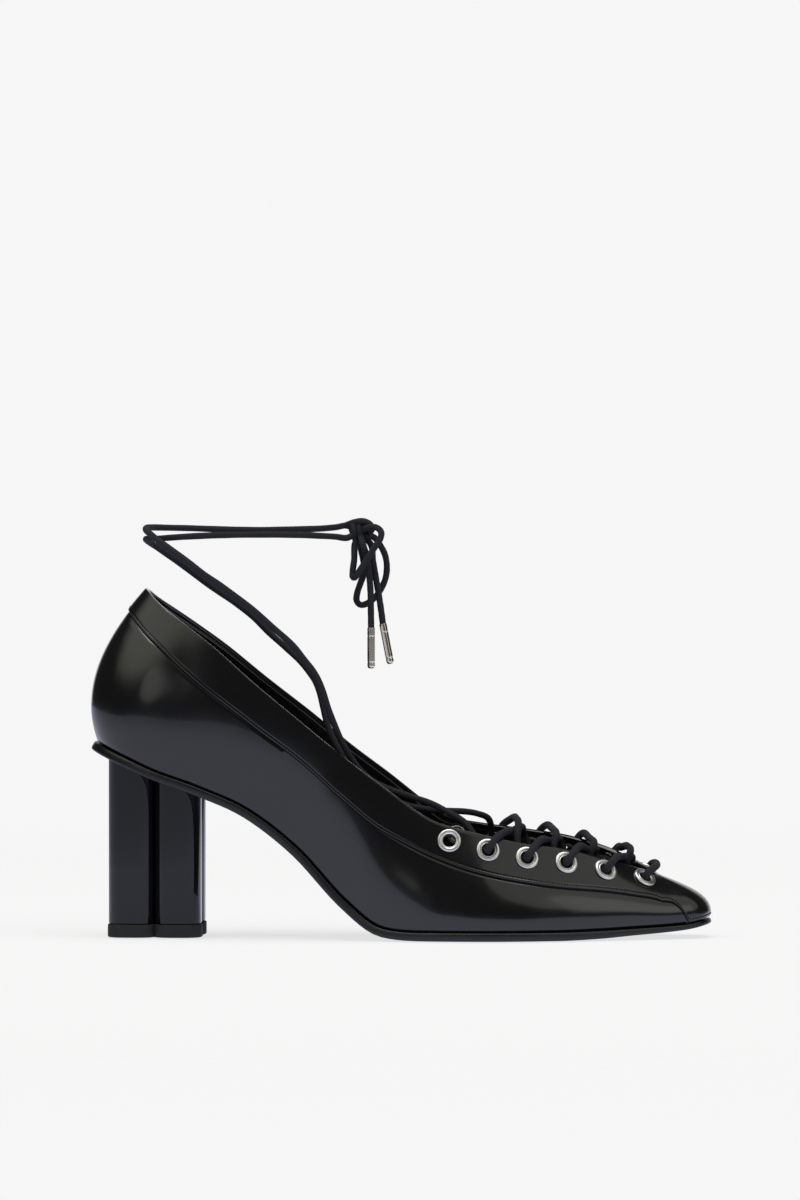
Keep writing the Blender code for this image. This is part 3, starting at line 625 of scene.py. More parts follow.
def catmull(before: Vector, start: Vector, end: Vector, after: Vector, share: float) -> Vector:
    """Return a point between start and end on a curve that passes through its points evenly.

    Args:
        before: The point before the start.
        start: Where the stretch starts.
        end: Where it ends.
        after: The point after the end.
        share: How far along the stretch the point lies, from 0 to 1.

    Returns:
        The point.
    """
    times = [0.0]
    for first, second in ((before, start), (start, end), (end, after)):
        times.append(times[-1] + max(SHORTEST_TIME, math.sqrt((second - first).length)))
    moment = times[1] + (times[2] - times[1]) * share

    def blend(low: Vector, high: Vector, low_time: float, high_time: float) -> Vector:
        """Return the point between two others at the wanted moment."""
        return low.lerp(high, (moment - low_time) / (high_time - low_time))

    first = blend(before, start, times[0], times[1])
    second = blend(start, end, times[1], times[2])
    third = blend(end, after, times[2], times[3])
    return blend(blend(first, second, times[0], times[2]), blend(second, third, times[1], times[3]),
                 times[1], times[2])


def smooth_route(points: Iterable[Sequence[float]], step: float) -> list[Vector]:
    """Return evenly spaced points on a smooth curve through a route's own points.

    Args:
        points: The route's own points.
        step: The distance between the new points.

    Returns:
        The new points.
    """
    knots = [Vector(point) for point in points]
    padded = [2 * knots[0] - knots[1]] + knots + [2 * knots[-1] - knots[-2]]
    fine: list[Vector] = []
    for index in range(1, len(padded) - 2):
        before, start, end, after = padded[index - 1:index + 3]
        pieces = max(2, math.ceil((end - start).length / (step / 3)))
        fine += [catmull(before, start, end, after, piece / pieces) for piece in range(pieces)]
    fine.append(knots[-1])
    return even_spacing(fine, step)


def even_spacing(fine: Sequence[Vector], step: float) -> list[Vector]:
    """Return points a step apart along a line of many points, with both ends kept.

    Args:
        fine: The line's points.
        step: The distance between the new points.

    Returns:
        The new points.
    """
    travelled = [0.0]
    for first, second in zip(fine, fine[1:]):
        travelled.append(travelled[-1] + (second - first).length)
    count = max(2, round(travelled[-1] / step))
    route = []
    index = 0
    for piece in range(count + 1):
        target = travelled[-1] * piece / count
        while index < len(fine) - 2 and travelled[index + 1] < target:
            index += 1
        span = max(SHORTEST_SPAN, travelled[index + 1] - travelled[index])
        route.append(fine[index].lerp(fine[index + 1], min(1.0, (target - travelled[index]) / span)))
    return route


def route_length(route: Sequence[Vector]) -> float:
    """Return the length of a route."""
    return sum((second - first).length for first, second in zip(route, route[1:]))


# Node helpers


class Bench:
    """A node tree with short ways to add and join nodes."""

    def __init__(self, tree: bpy.types.NodeTree) -> None:
        """Keep the tree."""
        self.tree = tree

    def add(self, kind: str, **settings: object) -> bpy.types.Node:
        """Add a node and set its named properties.

        Args:
            kind: The node's type.
            **settings: The properties to set on it.

        Returns:
            The node.
        """
        node = self.tree.nodes.new(kind)
        for name, value in settings.items():
            setattr(node, name, value)
        return node

    def feed(self, socket: bpy.types.NodeSocket, value: object) -> None:
        """Join another node's output to a socket, or set the socket's own value.

        Args:
            socket: The input socket.
            value: An output to join to it, or its value.
        """
        if isinstance(value, bpy.types.NodeSocket):
            self.tree.links.new(value, socket)
        else:
            socket.default_value = value

    def maths(self, operation: str, first: object, second: object = 0.0,
              third: object = 0.0, clamp: bool = False) -> bpy.types.NodeSocket:
        """Add a Math node and return its value.

        Args:
            operation: The node's operation.
            first: Its first input.
            second: Its second input.
            third: Its third input.
            clamp: Whether the result is kept between 0 and 1.

        Returns:
            The node's output.
        """
        node = self.add("ShaderNodeMath", operation=operation, use_clamp=clamp)
        for socket, value in zip(node.inputs, (first, second, third)):
            self.feed(socket, value)
        return node.outputs[0]

    def noise(self, vector: object, scale: object, detail: float = 3.0,
              roughness: float = 0.5) -> bpy.types.NodeSocket:
        """Add a Noise Texture and return its value.

        Args:
            vector: The coordinates.
            scale: The noise's scale.
            detail: How many finer layers it has.
            roughness: How strong the finer layers are.

        Returns:
            The node's output.
        """
        node = self.add("ShaderNodeTexNoise")
        self.feed(node.inputs["Vector"], vector)
        self.feed(node.inputs["Scale"], scale)
        node.inputs["Detail"].default_value = detail
        node.inputs["Roughness"].default_value = roughness
        return node.outputs[0]

    def ranged(self, value: object, low: object, high: object) -> bpy.types.NodeSocket:
        """Add a Map Range node from 0 to 1 and return its value between low and high.

        Args:
            value: The value between 0 and 1.
            low: What 0 becomes.
            high: What 1 becomes.

        Returns:
            The node's output.
        """
        node = self.add("ShaderNodeMapRange")
        self.feed(node.inputs["Value"], value)
        self.feed(node.inputs["To Min"], low)
        self.feed(node.inputs["To Max"], high)
        return node.outputs["Result"]

    def blend(self, factor: object, first: object, second: object) -> bpy.types.NodeSocket:
        """Add a colour Mix node and return its colour.

        Args:
            factor: The share of the second colour.
            first: The first colour.
            second: The second colour.

        Returns:
            The node's output.
        """
        node = self.add("ShaderNodeMix", data_type="RGBA")
        self.feed(node.inputs["Factor"], factor)
        self.feed(node.inputs["A"], first)
        self.feed(node.inputs["B"], second)
        return node.outputs["Result"]

    def bump(self, height: object, distance: float, strength: float,
             normal: object = None) -> bpy.types.NodeSocket:
        """Add a Bump node, over another one where there is one, and return its normal.

        Args:
            height: The pattern's height.
            distance: How deep it is, in metres.
            strength: How strongly it acts.
            normal: The normal of the bump below it, if there is one.

        Returns:
            The node's output.
        """
        node = self.add("ShaderNodeBump")
        self.feed(node.inputs["Height"], height)
        node.inputs["Distance"].default_value = distance
        node.inputs["Strength"].default_value = strength
        if normal is not None:
            self.feed(node.inputs["Normal"], normal)
        return node.outputs["Normal"]


GroupParts = tuple[bpy.types.NodeTree, Bench, bpy.types.Node, bpy.types.Node]


def shared_group(name: str, inputs: dict[str, tuple[str, float]],
                 outputs: dict[str, str]) -> GroupParts:
    """Start a shader node group.

    Args:
        name: The group's name.
        inputs: Each input's socket type and its own value, by name.
        outputs: Each output's socket type, by name.

    Returns:
        The group, its bench, its input node and its output node.
    """
    tree = bpy.data.node_groups.new(name, "ShaderNodeTree")
    for label, (kind, value) in inputs.items():
        socket = tree.interface.new_socket(label, in_out="INPUT", socket_type=kind)
        if kind == "NodeSocketFloat":
            socket.default_value = value
    for label, kind in outputs.items():
        tree.interface.new_socket(label, in_out="OUTPUT", socket_type=kind)
    bench = Bench(tree)
    return tree, bench, bench.add("NodeGroupInput"), bench.add("NodeGroupOutput")


FLOAT = "NodeSocketFloat"
VECTOR = "NodeSocketVector"


WANDER_SCALE = 260.0
GRAIN_FINE_RATIO = 2.7
GRAIN_BROAD_SCALE = 45.0
PORE_SHARE = 0.7
SMUDGE_FINE_RATIO = 9.0
BROAD_SHARE = 0.7
FINE_SHARE = 0.3
STRAND_ROUNDING = 0.6
FIBRE_SCALE = 40.0
FIBRE_SHARE = 0.25
# How much lighter the strands' crowns are than the grooves between them: painted shade.
PAINTED_GROOVE_SHADE = 0.6


def leather_grain_group() -> bpy.types.NodeTree:
    """Return the group for fine leather grain: pores and wrinkles as a height and a tone.

    Returns:
        The group.
    """
    found = bpy.data.node_groups.get("leather_grain")
    if found:
        return found
    tree, bench, given, out = shared_group(
        "leather_grain",
        {"Vector": (VECTOR, 0.0), "Scale": (FLOAT, 900.0), "Wander": (FLOAT, 0.0006)},
        {"Height": FLOAT, "Tone": FLOAT})
    wander = bench.add("ShaderNodeTexNoise")
    bench.feed(wander.inputs["Vector"], given.outputs["Vector"])
    wander.inputs["Scale"].default_value = WANDER_SCALE
    shift = bench.add("ShaderNodeVectorMath", operation="MULTIPLY_ADD")
    bench.feed(shift.inputs[0], wander.outputs["Color"])
    spread = bench.add("ShaderNodeCombineXYZ")
    for axis in range(3):
        bench.feed(spread.inputs[axis], given.outputs["Wander"])
    bench.feed(shift.inputs[1], spread.outputs[0])
    bench.feed(shift.inputs[2], given.outputs["Vector"])
    cells = bench.add("ShaderNodeTexVoronoi", feature="SMOOTH_F1")
    bench.feed(cells.inputs["Vector"], shift.outputs[0])
    bench.feed(cells.inputs["Scale"], given.outputs["Scale"])
    fine_scale = bench.maths("MULTIPLY", given.outputs["Scale"], GRAIN_FINE_RATIO)
    fine = bench.noise(shift.outputs[0], fine_scale, 4.0, 0.6)
    broad = bench.noise(given.outputs["Vector"], GRAIN_BROAD_SCALE, 3.0, 0.55)
    pores = bench.maths("MULTIPLY", cells.outputs["Distance"], PORE_SHARE)
    height = bench.maths("MULTIPLY_ADD", fine, 0.5, pores)
    bench.feed(out.inputs["Height"], height)
    bench.feed(out.inputs["Tone"], bench.maths("MULTIPLY_ADD", broad, BROAD_SHARE,
                                               bench.maths("MULTIPLY", fine, FINE_SHARE)))
    return tree


def smudge_group() -> bpy.types.NodeTree:
    """Return the group for handling marks: broad and fine patches between two values.

    Returns:
        The group.
    """
    found = bpy.data.node_groups.get("smudges")
    if found:
        return found
    tree, bench, given, out = shared_group(
        "smudges",
        {"Vector": (VECTOR, 0.0), "Scale": (FLOAT, 30.0), "Low": (FLOAT, 0.1), "High": (FLOAT, 0.3)},
        {"Value": FLOAT})
    broad = bench.noise(given.outputs["Vector"], given.outputs["Scale"], 4.0, 0.6)
    fine_scale = bench.maths("MULTIPLY", given.outputs["Scale"], SMUDGE_FINE_RATIO)
    fine = bench.noise(given.outputs["Vector"], fine_scale, 3.0, 0.6)
    share = bench.maths("MULTIPLY_ADD", fine, FINE_SHARE,
                        bench.maths("MULTIPLY", broad, BROAD_SHARE), clamp=True)
    bench.feed(out.inputs["Value"], bench.ranged(share, given.outputs["Low"], given.outputs["High"]))
    return tree


def braid_group() -> bpy.types.NodeTree:
    """Return the group for a plaited round cord, read from a map of turns and lengths.

    The map's X is one turn round the cord and its Y is the length in turns, so the diamonds
    where the plaited strands pass over each other stay square. The Tone output mixes the
    fibres' own unevenness with painted shade: darker in the grooves between strands and
    lighter on their crowns.

    Returns:
        The group.
    """
    found = bpy.data.node_groups.get("plaited_cord")
    if found:
        return found
    tree, bench, given, out = shared_group(
        "plaited_cord",
        {"Map": (VECTOR, 0.0), "Strands": (FLOAT, 8.0), "Pitch": (FLOAT, 1.0)},
        {"Height": FLOAT, "Tone": FLOAT})
    parts = bench.add("ShaderNodeSeparateXYZ")
    bench.feed(parts.inputs[0], given.outputs["Map"])
    run = bench.maths("MULTIPLY", parts.outputs["Y"], given.outputs["Pitch"])
    strands = []
    for operation in ("ADD", "SUBTRACT"):
        across = bench.maths(operation, parts.outputs["X"], run)
        turns = bench.maths("MULTIPLY", bench.maths("MULTIPLY", across, given.outputs["Strands"]), math.pi)
        strands.append(bench.maths("ABSOLUTE", bench.maths("SINE", turns)))
    diamond = bench.maths("MULTIPLY", strands[0], strands[1])
    rounded = bench.maths("POWER", diamond, STRAND_ROUNDING)
    fibres = bench.noise(given.outputs["Map"], FIBRE_SCALE, 3.0, 0.7)
    bench.feed(out.inputs["Height"], bench.maths("MULTIPLY_ADD", fibres, FIBRE_SHARE, rounded))
    # Tone: the fibres' own unevenness, plus painted shade that darkens the grooves between strands and lightens their
    # crowns.
    bench.feed(out.inputs["Tone"], bench.maths("MULTIPLY_ADD", fibres, 0.5,
                                               bench.maths("MULTIPLY", rounded, PAINTED_GROOVE_SHADE),
                                               clamp=True))
    return tree


def place_group(bench: Bench, tree: bpy.types.NodeTree, **values: object) -> bpy.types.Node:
    """Place a node group in a tree and feed its inputs by name.

    Args:
        bench: The tree's bench.
        tree: The group.
        **values: The outputs or values for its inputs.

    Returns:
        The group's node.
    """
    node = bench.add("ShaderNodeGroup", node_tree=tree)
    for name, value in values.items():
        bench.feed(node.inputs[name], value)
    return node


Colour = tuple[float, float, float]


def opaque(colour: Colour) -> tuple[float, float, float, float]:
    """Return a colour with full opacity."""
    return (*colour, 1.0)


class Finish:
    """What all finishes share: the start of a material with its Principled shader."""

    name: str

    def start(self) -> tuple[bpy.types.Material, Bench, bpy.types.Node, bpy.types.NodeSocket]:
        """Return a new material, its bench, its shader and the Object coordinates.

        Returns:
            The material, its bench, its shader and the coordinates.
        """
        material = bpy.data.materials.new(self.name)
        material.use_nodes = True
        bench = Bench(material.node_tree)
        shader = material.node_tree.nodes["Principled BSDF"]
        coordinates = bench.add("ShaderNodeTexCoord")
        return material, bench, shader, coordinates.outputs["Object"]


@dataclass(frozen=True)
class LeatherFinish(Finish):
    """Dressed leather: two near tones, fine grain, soft waves and a coat of polish."""

    name: str
    dark: Colour
    light: Colour
    rough_low: float
    rough_high: float
    coat: float
    coat_roughness: float
    grain_scale: float = 900.0
    grain_depth: float = 0.00003
    grain_strength: float = 0.4
    wave_scale: float = 55.0
    wave_depth: float = 0.0
    specular: float = 0.5

    def material(self) -> bpy.types.Material:
        """Return the leather's material.

        Returns:
            The material.
        """
        material, bench, shader, place = self.start()
        grain = place_group(bench, leather_grain_group(), Vector=place, Scale=self.grain_scale)
        smudge = place_group(bench, smudge_group(), Vector=place, Low=self.rough_low, High=self.rough_high)
        tone = bench.blend(grain.outputs["Tone"], opaque(self.dark), opaque(self.light))
        bench.feed(shader.inputs["Base Color"], tone)
        bench.feed(shader.inputs["Roughness"], smudge.outputs["Value"])
        normal = None
        if self.wave_depth:
            wave = bench.noise(place, self.wave_scale, 2.0, 0.5)
            normal = bench.bump(wave, self.wave_depth, 1.0)
        normal = bench.bump(grain.outputs["Height"], self.grain_depth, self.grain_strength, normal)
        bench.feed(shader.inputs["Normal"], normal)
        shader.inputs["Coat Weight"].default_value = self.coat
        shader.inputs["Coat Roughness"].default_value = self.coat_roughness
        shader.inputs["Specular IOR Level"].default_value = self.specular
        return material


@dataclass(frozen=True)
class PolymerFinish(Finish):
    """Moulded plastic or rubber: near tones, fine pitting and faint wear."""

    name: str
    dark: Colour
    light: Colour
    rough_low: float
    rough_high: float
    coat: float = 0.0
    coat_roughness: float = 0.05
    pit_scale: float = 1500.0
    pit_depth: float = 0.00002
    pit_strength: float = 0.4
    specular: float = 0.5
    smudge_scale: float = 60.0
    tone_scale: float = 80.0

    def material(self) -> bpy.types.Material:
        """Return the polymer's material.

        Returns:
            The material.
        """
        material, bench, shader, place = self.start()
        smudge = place_group(bench, smudge_group(), Vector=place, Scale=self.smudge_scale,
                             Low=self.rough_low, High=self.rough_high)
        pits = bench.noise(place, self.pit_scale, 4.0, 0.6)
        broad = bench.noise(place, self.tone_scale, 3.0, 0.5)
        bench.feed(shader.inputs["Base Color"], bench.blend(broad, opaque(self.dark), opaque(self.light)))
        bench.feed(shader.inputs["Roughness"], smudge.outputs["Value"])
        bench.feed(shader.inputs["Normal"], bench.bump(pits, self.pit_depth, self.pit_strength))
        shader.inputs["Coat Weight"].default_value = self.coat
        shader.inputs["Coat Roughness"].default_value = self.coat_roughness
        shader.inputs["Specular IOR Level"].default_value = self.specular
        return material


@dataclass(frozen=True)
class MetalFinish(Finish):
    """Plated metal: a bright tone with faint scratches and handling marks."""

    name: str
    dark: Colour
    light: Colour
    rough_low: float
    rough_high: float
    scratch_scale: float = 700.0
    scratch_strength: float = 0.10
    scratch_depth: float = 0.00001
    scratch_stretch: float = 0.15
    smudge_scale: float = 260.0

    def material(self) -> bpy.types.Material:
        """Return the metal's material.

        Returns:
            The material.
        """
        material, bench, shader, place = self.start()
        smudge = place_group(bench, smudge_group(), Vector=place, Scale=self.smudge_scale,
                             Low=self.rough_low, High=self.rough_high)
        stretch = bench.add("ShaderNodeMapping")
        bench.feed(stretch.inputs["Vector"], place)
        stretch.inputs["Scale"].default_value = (1.0, 1.0, self.scratch_stretch)
        scratches = bench.noise(stretch.outputs[0], self.scratch_scale, 3.0, 0.6)
        bench.feed(shader.inputs["Base Color"],
                   bench.blend(scratches, opaque(self.dark), opaque(self.light)))
        bench.feed(shader.inputs["Roughness"], smudge.outputs["Value"])
        bench.feed(shader.inputs["Normal"],
                   bench.bump(scratches, self.scratch_depth, self.scratch_strength))
        shader.inputs["Metallic"].default_value = 1.0
        return material


@dataclass(frozen=True)
class CordFinish(Finish):
    """Plaited matte cord, patterned along its own map, with painted shade in the grooves between its strands."""

    name: str
    dark: Colour
    light: Colour
    strands: float = 12.0
    pitch: float = 1.0
    depth: float = 0.00020
    strength: float = 0.7
    roughness_low: float = 0.7
    roughness_high: float = 0.95
    sheen: float = 0.12
    smudge_scale: float = 120.0

    def material(self) -> bpy.types.Material:
        """Return the cord's material.

        Returns:
            The material.
        """
        material, bench, shader, place = self.start()
        chart = bench.add("ShaderNodeUVMap", uv_map="length_map")
        braid = place_group(bench, braid_group(), Map=chart.outputs["UV"], Strands=self.strands,
                            Pitch=self.pitch)
        smudge = place_group(bench, smudge_group(), Vector=place, Scale=self.smudge_scale,
                             Low=self.roughness_low, High=self.roughness_high)
        # The colour runs from the dark tone in the grooves to the light one on the crowns: painted shade, with the
        # fibres' own unevenness.
        bench.feed(shader.inputs["Base Color"],
                   bench.blend(braid.outputs["Tone"], opaque(self.dark), opaque(self.light)))
        bench.feed(shader.inputs["Roughness"], smudge.outputs["Value"])
        bench.feed(shader.inputs["Normal"], bench.bump(braid.outputs["Height"], self.depth, self.strength))
        shader.inputs["Sheen Weight"].default_value = self.sheen
        shader.inputs["Sheen Roughness"].default_value = 0.5
        return material


UPPER_LEATHER = LeatherFinish("polished_upper_leather", (0.0050, 0.0050, 0.0052), (0.0095, 0.0095, 0.0096),
                              0.16, 0.24, 0.55, 0.07, grain_scale=1100.0, grain_depth=0.000010,
                              grain_strength=0.16, wave_scale=34.0, wave_depth=0.00045)
LINING_LEATHER = LeatherFinish("lining_leather", (0.0070, 0.0070, 0.0075), (0.0135, 0.0132, 0.0135),
                               0.42, 0.58, 0.05, 0.3, grain_depth=0.00004)
# The cut edge's colour is far lighter than the upper's: partly the edge's own tone, partly a painted highlight along
# the rounded edge.
EDGE_LEATHER = LeatherFinish("dyed_cut_edge", (0.024, 0.023, 0.020), (0.050, 0.048, 0.040),
                             0.35, 0.5, 0.1, 0.25, grain_scale=1600.0, grain_depth=0.00004)
INSOLE_LEATHER = LeatherFinish("insole_leather", (0.0090, 0.0088, 0.0090), (0.0180, 0.0172, 0.0170),
                               0.45, 0.62, 0.05, 0.3, grain_depth=0.00005)
SOLE_EDGE = PolymerFinish("dressed_sole_edge", (0.0045, 0.0045, 0.0048), (0.009, 0.009, 0.0095),
                          0.28, 0.42, 0.15, 0.2)
SOLE_BOTTOM = PolymerFinish("sole_bottom", (0.010, 0.010, 0.010), (0.022, 0.0215, 0.021),
                            0.55, 0.75, pit_scale=900.0, pit_depth=0.00006)
HEEL_GLOSS = PolymerFinish("gloss_heel", (0.0030, 0.0030, 0.0042), (0.0048, 0.0048, 0.0064),
                           0.03, 0.06, 0.0, 0.03, pit_scale=120.0, pit_depth=0.00001, pit_strength=0.2)
LIFT_RUBBER = PolymerFinish("lift_rubber", (0.014, 0.014, 0.013), (0.026, 0.026, 0.024),
                            0.7, 0.88, pit_scale=2200.0, pit_depth=0.00006, pit_strength=0.6)
EYELET_METAL = MetalFinish("plated_eyelet", (0.84, 0.83, 0.80), (0.95, 0.94, 0.91), 0.26, 0.38)
AGLET_METAL = MetalFinish("plated_aglet", (0.90, 0.80, 0.63), (0.98, 0.91, 0.77), 0.13, 0.19,
                          scratch_strength=0.02)
# The lace's own navy-black. Its light colour shows on the strands' crowns, and its dark one in the painted shade of
# the grooves.
LACE_CORD = CordFinish("lace_cord", (0.0055, 0.0055, 0.0095), (0.0270, 0.0260, 0.0400))
THREAD = PolymerFinish("stitching_thread", (0.002, 0.002, 0.002), (0.006, 0.006, 0.006), 0.6, 0.8,
                       pit_scale=3000.0, specular=0.15)


# Cords


@dataclass
class CordSweep:
    """A round cord swept along a route, with a map of turns and lengths for its plait."""

    route: list[Vector]
    diameter: float
    sides: int = 14
    swell: Callable[[float], float] | None = None

    def frames(self) -> list[tuple[Vector, Vector]]:
        """Return two directions square to the route at each of its points, without twist.

        Returns:
            Two directions for each point of the route.
        """
        tangents = []
        for index in range(len(self.route)):
            before = self.route[max(0, index - 1)]
            after = self.route[min(len(self.route) - 1, index + 1)]
            tangents.append((after - before).normalized())
        side = tangents[0].orthogonal().normalized()
        pairs = []
        for tangent in tangents:
            side = (side - side.dot(tangent) * tangent).normalized()
            pairs.append((side, tangent.cross(side)))
        return pairs

    def mesh(self, name: str) -> bpy.types.Mesh:
        """Return the cord's closed mesh with its map.

        Args:
            name: The mesh's name.

        Returns:
            The mesh, whose map is named length_map.
        """
        length = route_length(self.route)
        around = math.pi * self.diameter
        points: list[Vector] = []
        runs: list[float] = []
        travelled = 0.0
        for index, (spot, (side, other)) in enumerate(zip(self.route, self.frames())):
            if index:
                travelled += (spot - self.route[index - 1]).length
            runs.append(travelled / around)
            radius = self.diameter / 2
            if self.swell is not None:
                radius *= self.swell(travelled / length)
            for turn in range(self.sides):
                angle = 2 * math.pi * turn / self.sides
                points.append(spot + radius * (math.cos(angle) * side + math.sin(angle) * other))
        faces: list[Face] = []
        chart: list[tuple[float, float]] = []
        for ring in range(len(self.route) - 1):
            here, there = ring * self.sides, (ring + 1) * self.sides
            for turn in range(self.sides):
                after = (turn + 1) % self.sides
                faces.append((here + turn, here + after, there + after, there + turn))
                low, high = turn / self.sides, (turn + 1) / self.sides
                chart += [(low, runs[ring]), (high, runs[ring]),
                          (high, runs[ring + 1]), (low, runs[ring + 1])]
        last = (len(self.route) - 1) * self.sides
        for cap, run in ((tuple(range(self.sides))[::-1], runs[0]),
                         (tuple(range(last, last + self.sides)), runs[-1])):
            faces.append(cap)
            chart += [(turn / self.sides, run) for turn in range(self.sides)]
        mesh = bpy.data.meshes.new(name)
        mesh.from_pydata([tuple(point) for point in points], [], faces)
        layer = mesh.uv_layers.new(name="length_map")
        for loop, value in zip(layer.data, chart):
            loop.uv = value
        return mesh


SLOW_SHARE = 0.6
QUICK_SHARE = 0.4
QUICK_WAVE = 2.7


def unevenness(amount: float, waves: float, phase: float) -> Callable[[float], float]:
    """Return a slow change of a cord's thickness along it, about one.

    Args:
        amount: The largest share by which the thickness changes.
        waves: How many waves the cord has.
        phase: Where the waves start.

    Returns:
        The thickness, as a function of the share of the cord's length.
    """
    def swell(share: float) -> float:
        """Return the thickness at a share of the cord's length, about one.

        Args:
            share: The share of the length, from 0 to 1.

        Returns:
            The thickness, as a share of the cord's own.
        """
        turn = 2 * math.pi * share * waves
        slow = math.sin(turn + phase)
        quick = math.sin(QUICK_WAVE * turn + 2 * phase)
        return 1 + amount * (SLOW_SHARE * slow + QUICK_SHARE * quick)

    return swell


# Studio


class Softbox(NamedTuple):
    """A rectangular soft light: its place, its width and height, its brightness and colour."""

    name: str
    place: Point
    size: tuple[float, float]
    radiance: float
    colour: Colour


@dataclass(frozen=True)
class Glow:
    """A soft patch of light in the surroundings, which lights the shoe and shows in its shine."""

    aim: Point
    full_angle: float
    fade_angle: float
    strength: float
    colour: Colour


@dataclass
class Studio:
    """The camera, the lights and the pale floor."""

    target: Point = (0.0992, -0.017, 0.1359)
    distance: float = 3.5
    azimuth: float = 3.5
    camera_height: float = 0.214
    lens: float = 174.6
    sensor_height: float = 24.0
    clip_end: float = 50.0
    lights_aim: Point = (0.10, 0.0, 0.06)
    softboxes: tuple[Softbox, ...] = (
        Softbox("right_softbox", (2.05, -1.50, 1.05), (1.1, 1.3), 0.55, (1.0, 0.99, 0.96)),
        Softbox("top_softbox", (0.1, -0.1, 2.2), (1.8, 1.4), 2.6, (1.0, 1.0, 1.0)),
    )
    floor_radius: float = 3.0
    floor_sides: int = 96
    floor_place: Point = (0.1, 0.0, -0.0004)
    floor_fade: tuple[float, float] = (0.30, 1.1)
    backdrop: float = 0.924
    front_strength: float = 0.03
    behind_strength: float = 0.80
    behind_from: float = 0.80
    behind_full: float = 0.985
    floor_tone: Colour = (0.30, 0.30, 0.31)
    floor_glow: float = 0.72
    floor_near_reflection: Colour = (0.62, 0.65, 0.84)
    floor_far_reflection: Colour = (0.42, 0.44, 0.58)
    glows: tuple[Glow, ...] = (
        Glow((-0.470, -0.329, 0.819), 14.0, 42.0, 0.80, (1.0, 1.0, 0.86)),
        Glow((-0.402, -0.862, 0.309), 6.0, 14.0, 0.70, (1.0, 0.99, 0.96)),
        Glow((0.623, -0.405, 0.669), 27.0, 32.0, 0.55, (1.0, 1.0, 0.93)),
    )

    def camera(self) -> None:
        """Place the camera at the photograph's viewing angle."""
        data = bpy.data.cameras.new("camera")
        data.sensor_fit = "VERTICAL"
        data.sensor_height = self.sensor_height
        data.lens = self.lens
        data.clip_end = self.clip_end
        camera = bpy.data.objects.new("camera", data)
        bpy.context.scene.collection.objects.link(camera)
        turn = math.radians(self.azimuth)
        aim = Vector(self.target)
        rise = self.camera_height - aim.z
        level = math.sqrt(self.distance ** 2 - rise ** 2)
        camera.location = aim + Vector((level * math.sin(turn), -level * math.cos(turn), rise))
        camera.rotation_euler = (aim - camera.location).to_track_quat("-Z", "Y").to_euler()
        bpy.context.scene.camera = camera

    def lights(self) -> None:
        """Add the soft lights to the right and above."""
        for box in self.softboxes:
            data = bpy.data.lights.new(box.name, "AREA")
            data.shape = "RECTANGLE"
            data.size, data.size_y = box.size
            data.energy = box.radiance * math.pi * box.size[0] * box.size[1]
            data.color = box.colour
            light = bpy.data.objects.new(box.name, data)
            bpy.context.scene.collection.objects.link(light)
            light.location = box.place
            turn = (Vector(self.lights_aim) - Vector(box.place)).to_track_quat("-Z", "Y")
            light.rotation_euler = turn.to_euler()

    def world(self) -> None:
        """Make the surroundings: pale to look at, and darker towards the front in reflections."""
        world = bpy.data.worlds.new("studio")
        world.use_nodes = True
        bpy.context.scene.world = world
        bench = Bench(world.node_tree)
        world.node_tree.nodes.clear()
        direction = bench.add("ShaderNodeTexCoord").outputs["Generated"]
        light = self.soft_edge(bench, direction, (0.0, 1.0, 0.0), self.behind_from, self.behind_full)
        light = bench.maths("MULTIPLY_ADD", light, self.behind_strength, self.front_strength)
        sum_of_light = bench.add("ShaderNodeCombineColor")
        for socket in sum_of_light.inputs:
            bench.feed(socket, light)
        total = sum_of_light.outputs[0]
        for glow in self.glows:
            share = self.soft_edge(bench, direction, glow.aim, math.cos(math.radians(glow.fade_angle)),
                                   math.cos(math.radians(glow.full_angle)))
            patch = bench.add("ShaderNodeVectorMath", operation="SCALE")
            patch.inputs[0].default_value = glow.colour
            bench.feed(patch.inputs["Scale"], bench.maths("MULTIPLY", share, glow.strength))
            added = bench.add("ShaderNodeVectorMath", operation="ADD")
            bench.feed(added.inputs[0], total)
            bench.feed(added.inputs[1], patch.outputs[0])
            total = added.outputs[0]
        around = bench.add("ShaderNodeBackground")
        bench.feed(around.inputs["Color"], total)
        seen = bench.add("ShaderNodeBackground")
        seen.inputs["Color"].default_value = (1.0, 1.0, 1.0, 1.0)
        seen.inputs["Strength"].default_value = self.backdrop
        path = bench.add("ShaderNodeLightPath")
        mix = bench.add("ShaderNodeMixShader")
        bench.feed(mix.inputs[0], path.outputs["Is Camera Ray"])
        bench.feed(mix.inputs[1], around.outputs[0])
        bench.feed(mix.inputs[2], seen.outputs[0])
        out = bench.add("ShaderNodeOutputWorld")
        bench.feed(out.inputs["Surface"], mix.outputs[0])

    @staticmethod
    def soft_edge(bench: Bench, direction: bpy.types.NodeSocket, aim: Point, low: float,
                  high: float) -> bpy.types.NodeSocket:
        """Return how near a direction is to an aim, eased from 0 at one cosine to 1 at another.

        Args:
            bench: The world's bench.
            direction: The direction's socket.
            aim: The direction that it is compared with.
            low: The cosine where the result leaves 0.
            high: The cosine where it reaches 1.

        Returns:
            The result's socket.
        """
        near = bench.add("ShaderNodeVectorMath", operation="DOT_PRODUCT")
        bench.feed(near.inputs[0], direction)
        near.inputs[1].default_value = Vector(aim).normalized()
        eased = bench.add("ShaderNodeMapRange", interpolation_type="SMOOTHERSTEP")
        bench.feed(eased.inputs["Value"], near.outputs["Value"])
        eased.inputs["From Min"].default_value = low
        eased.inputs["From Max"].default_value = high
        return eased.outputs["Result"]

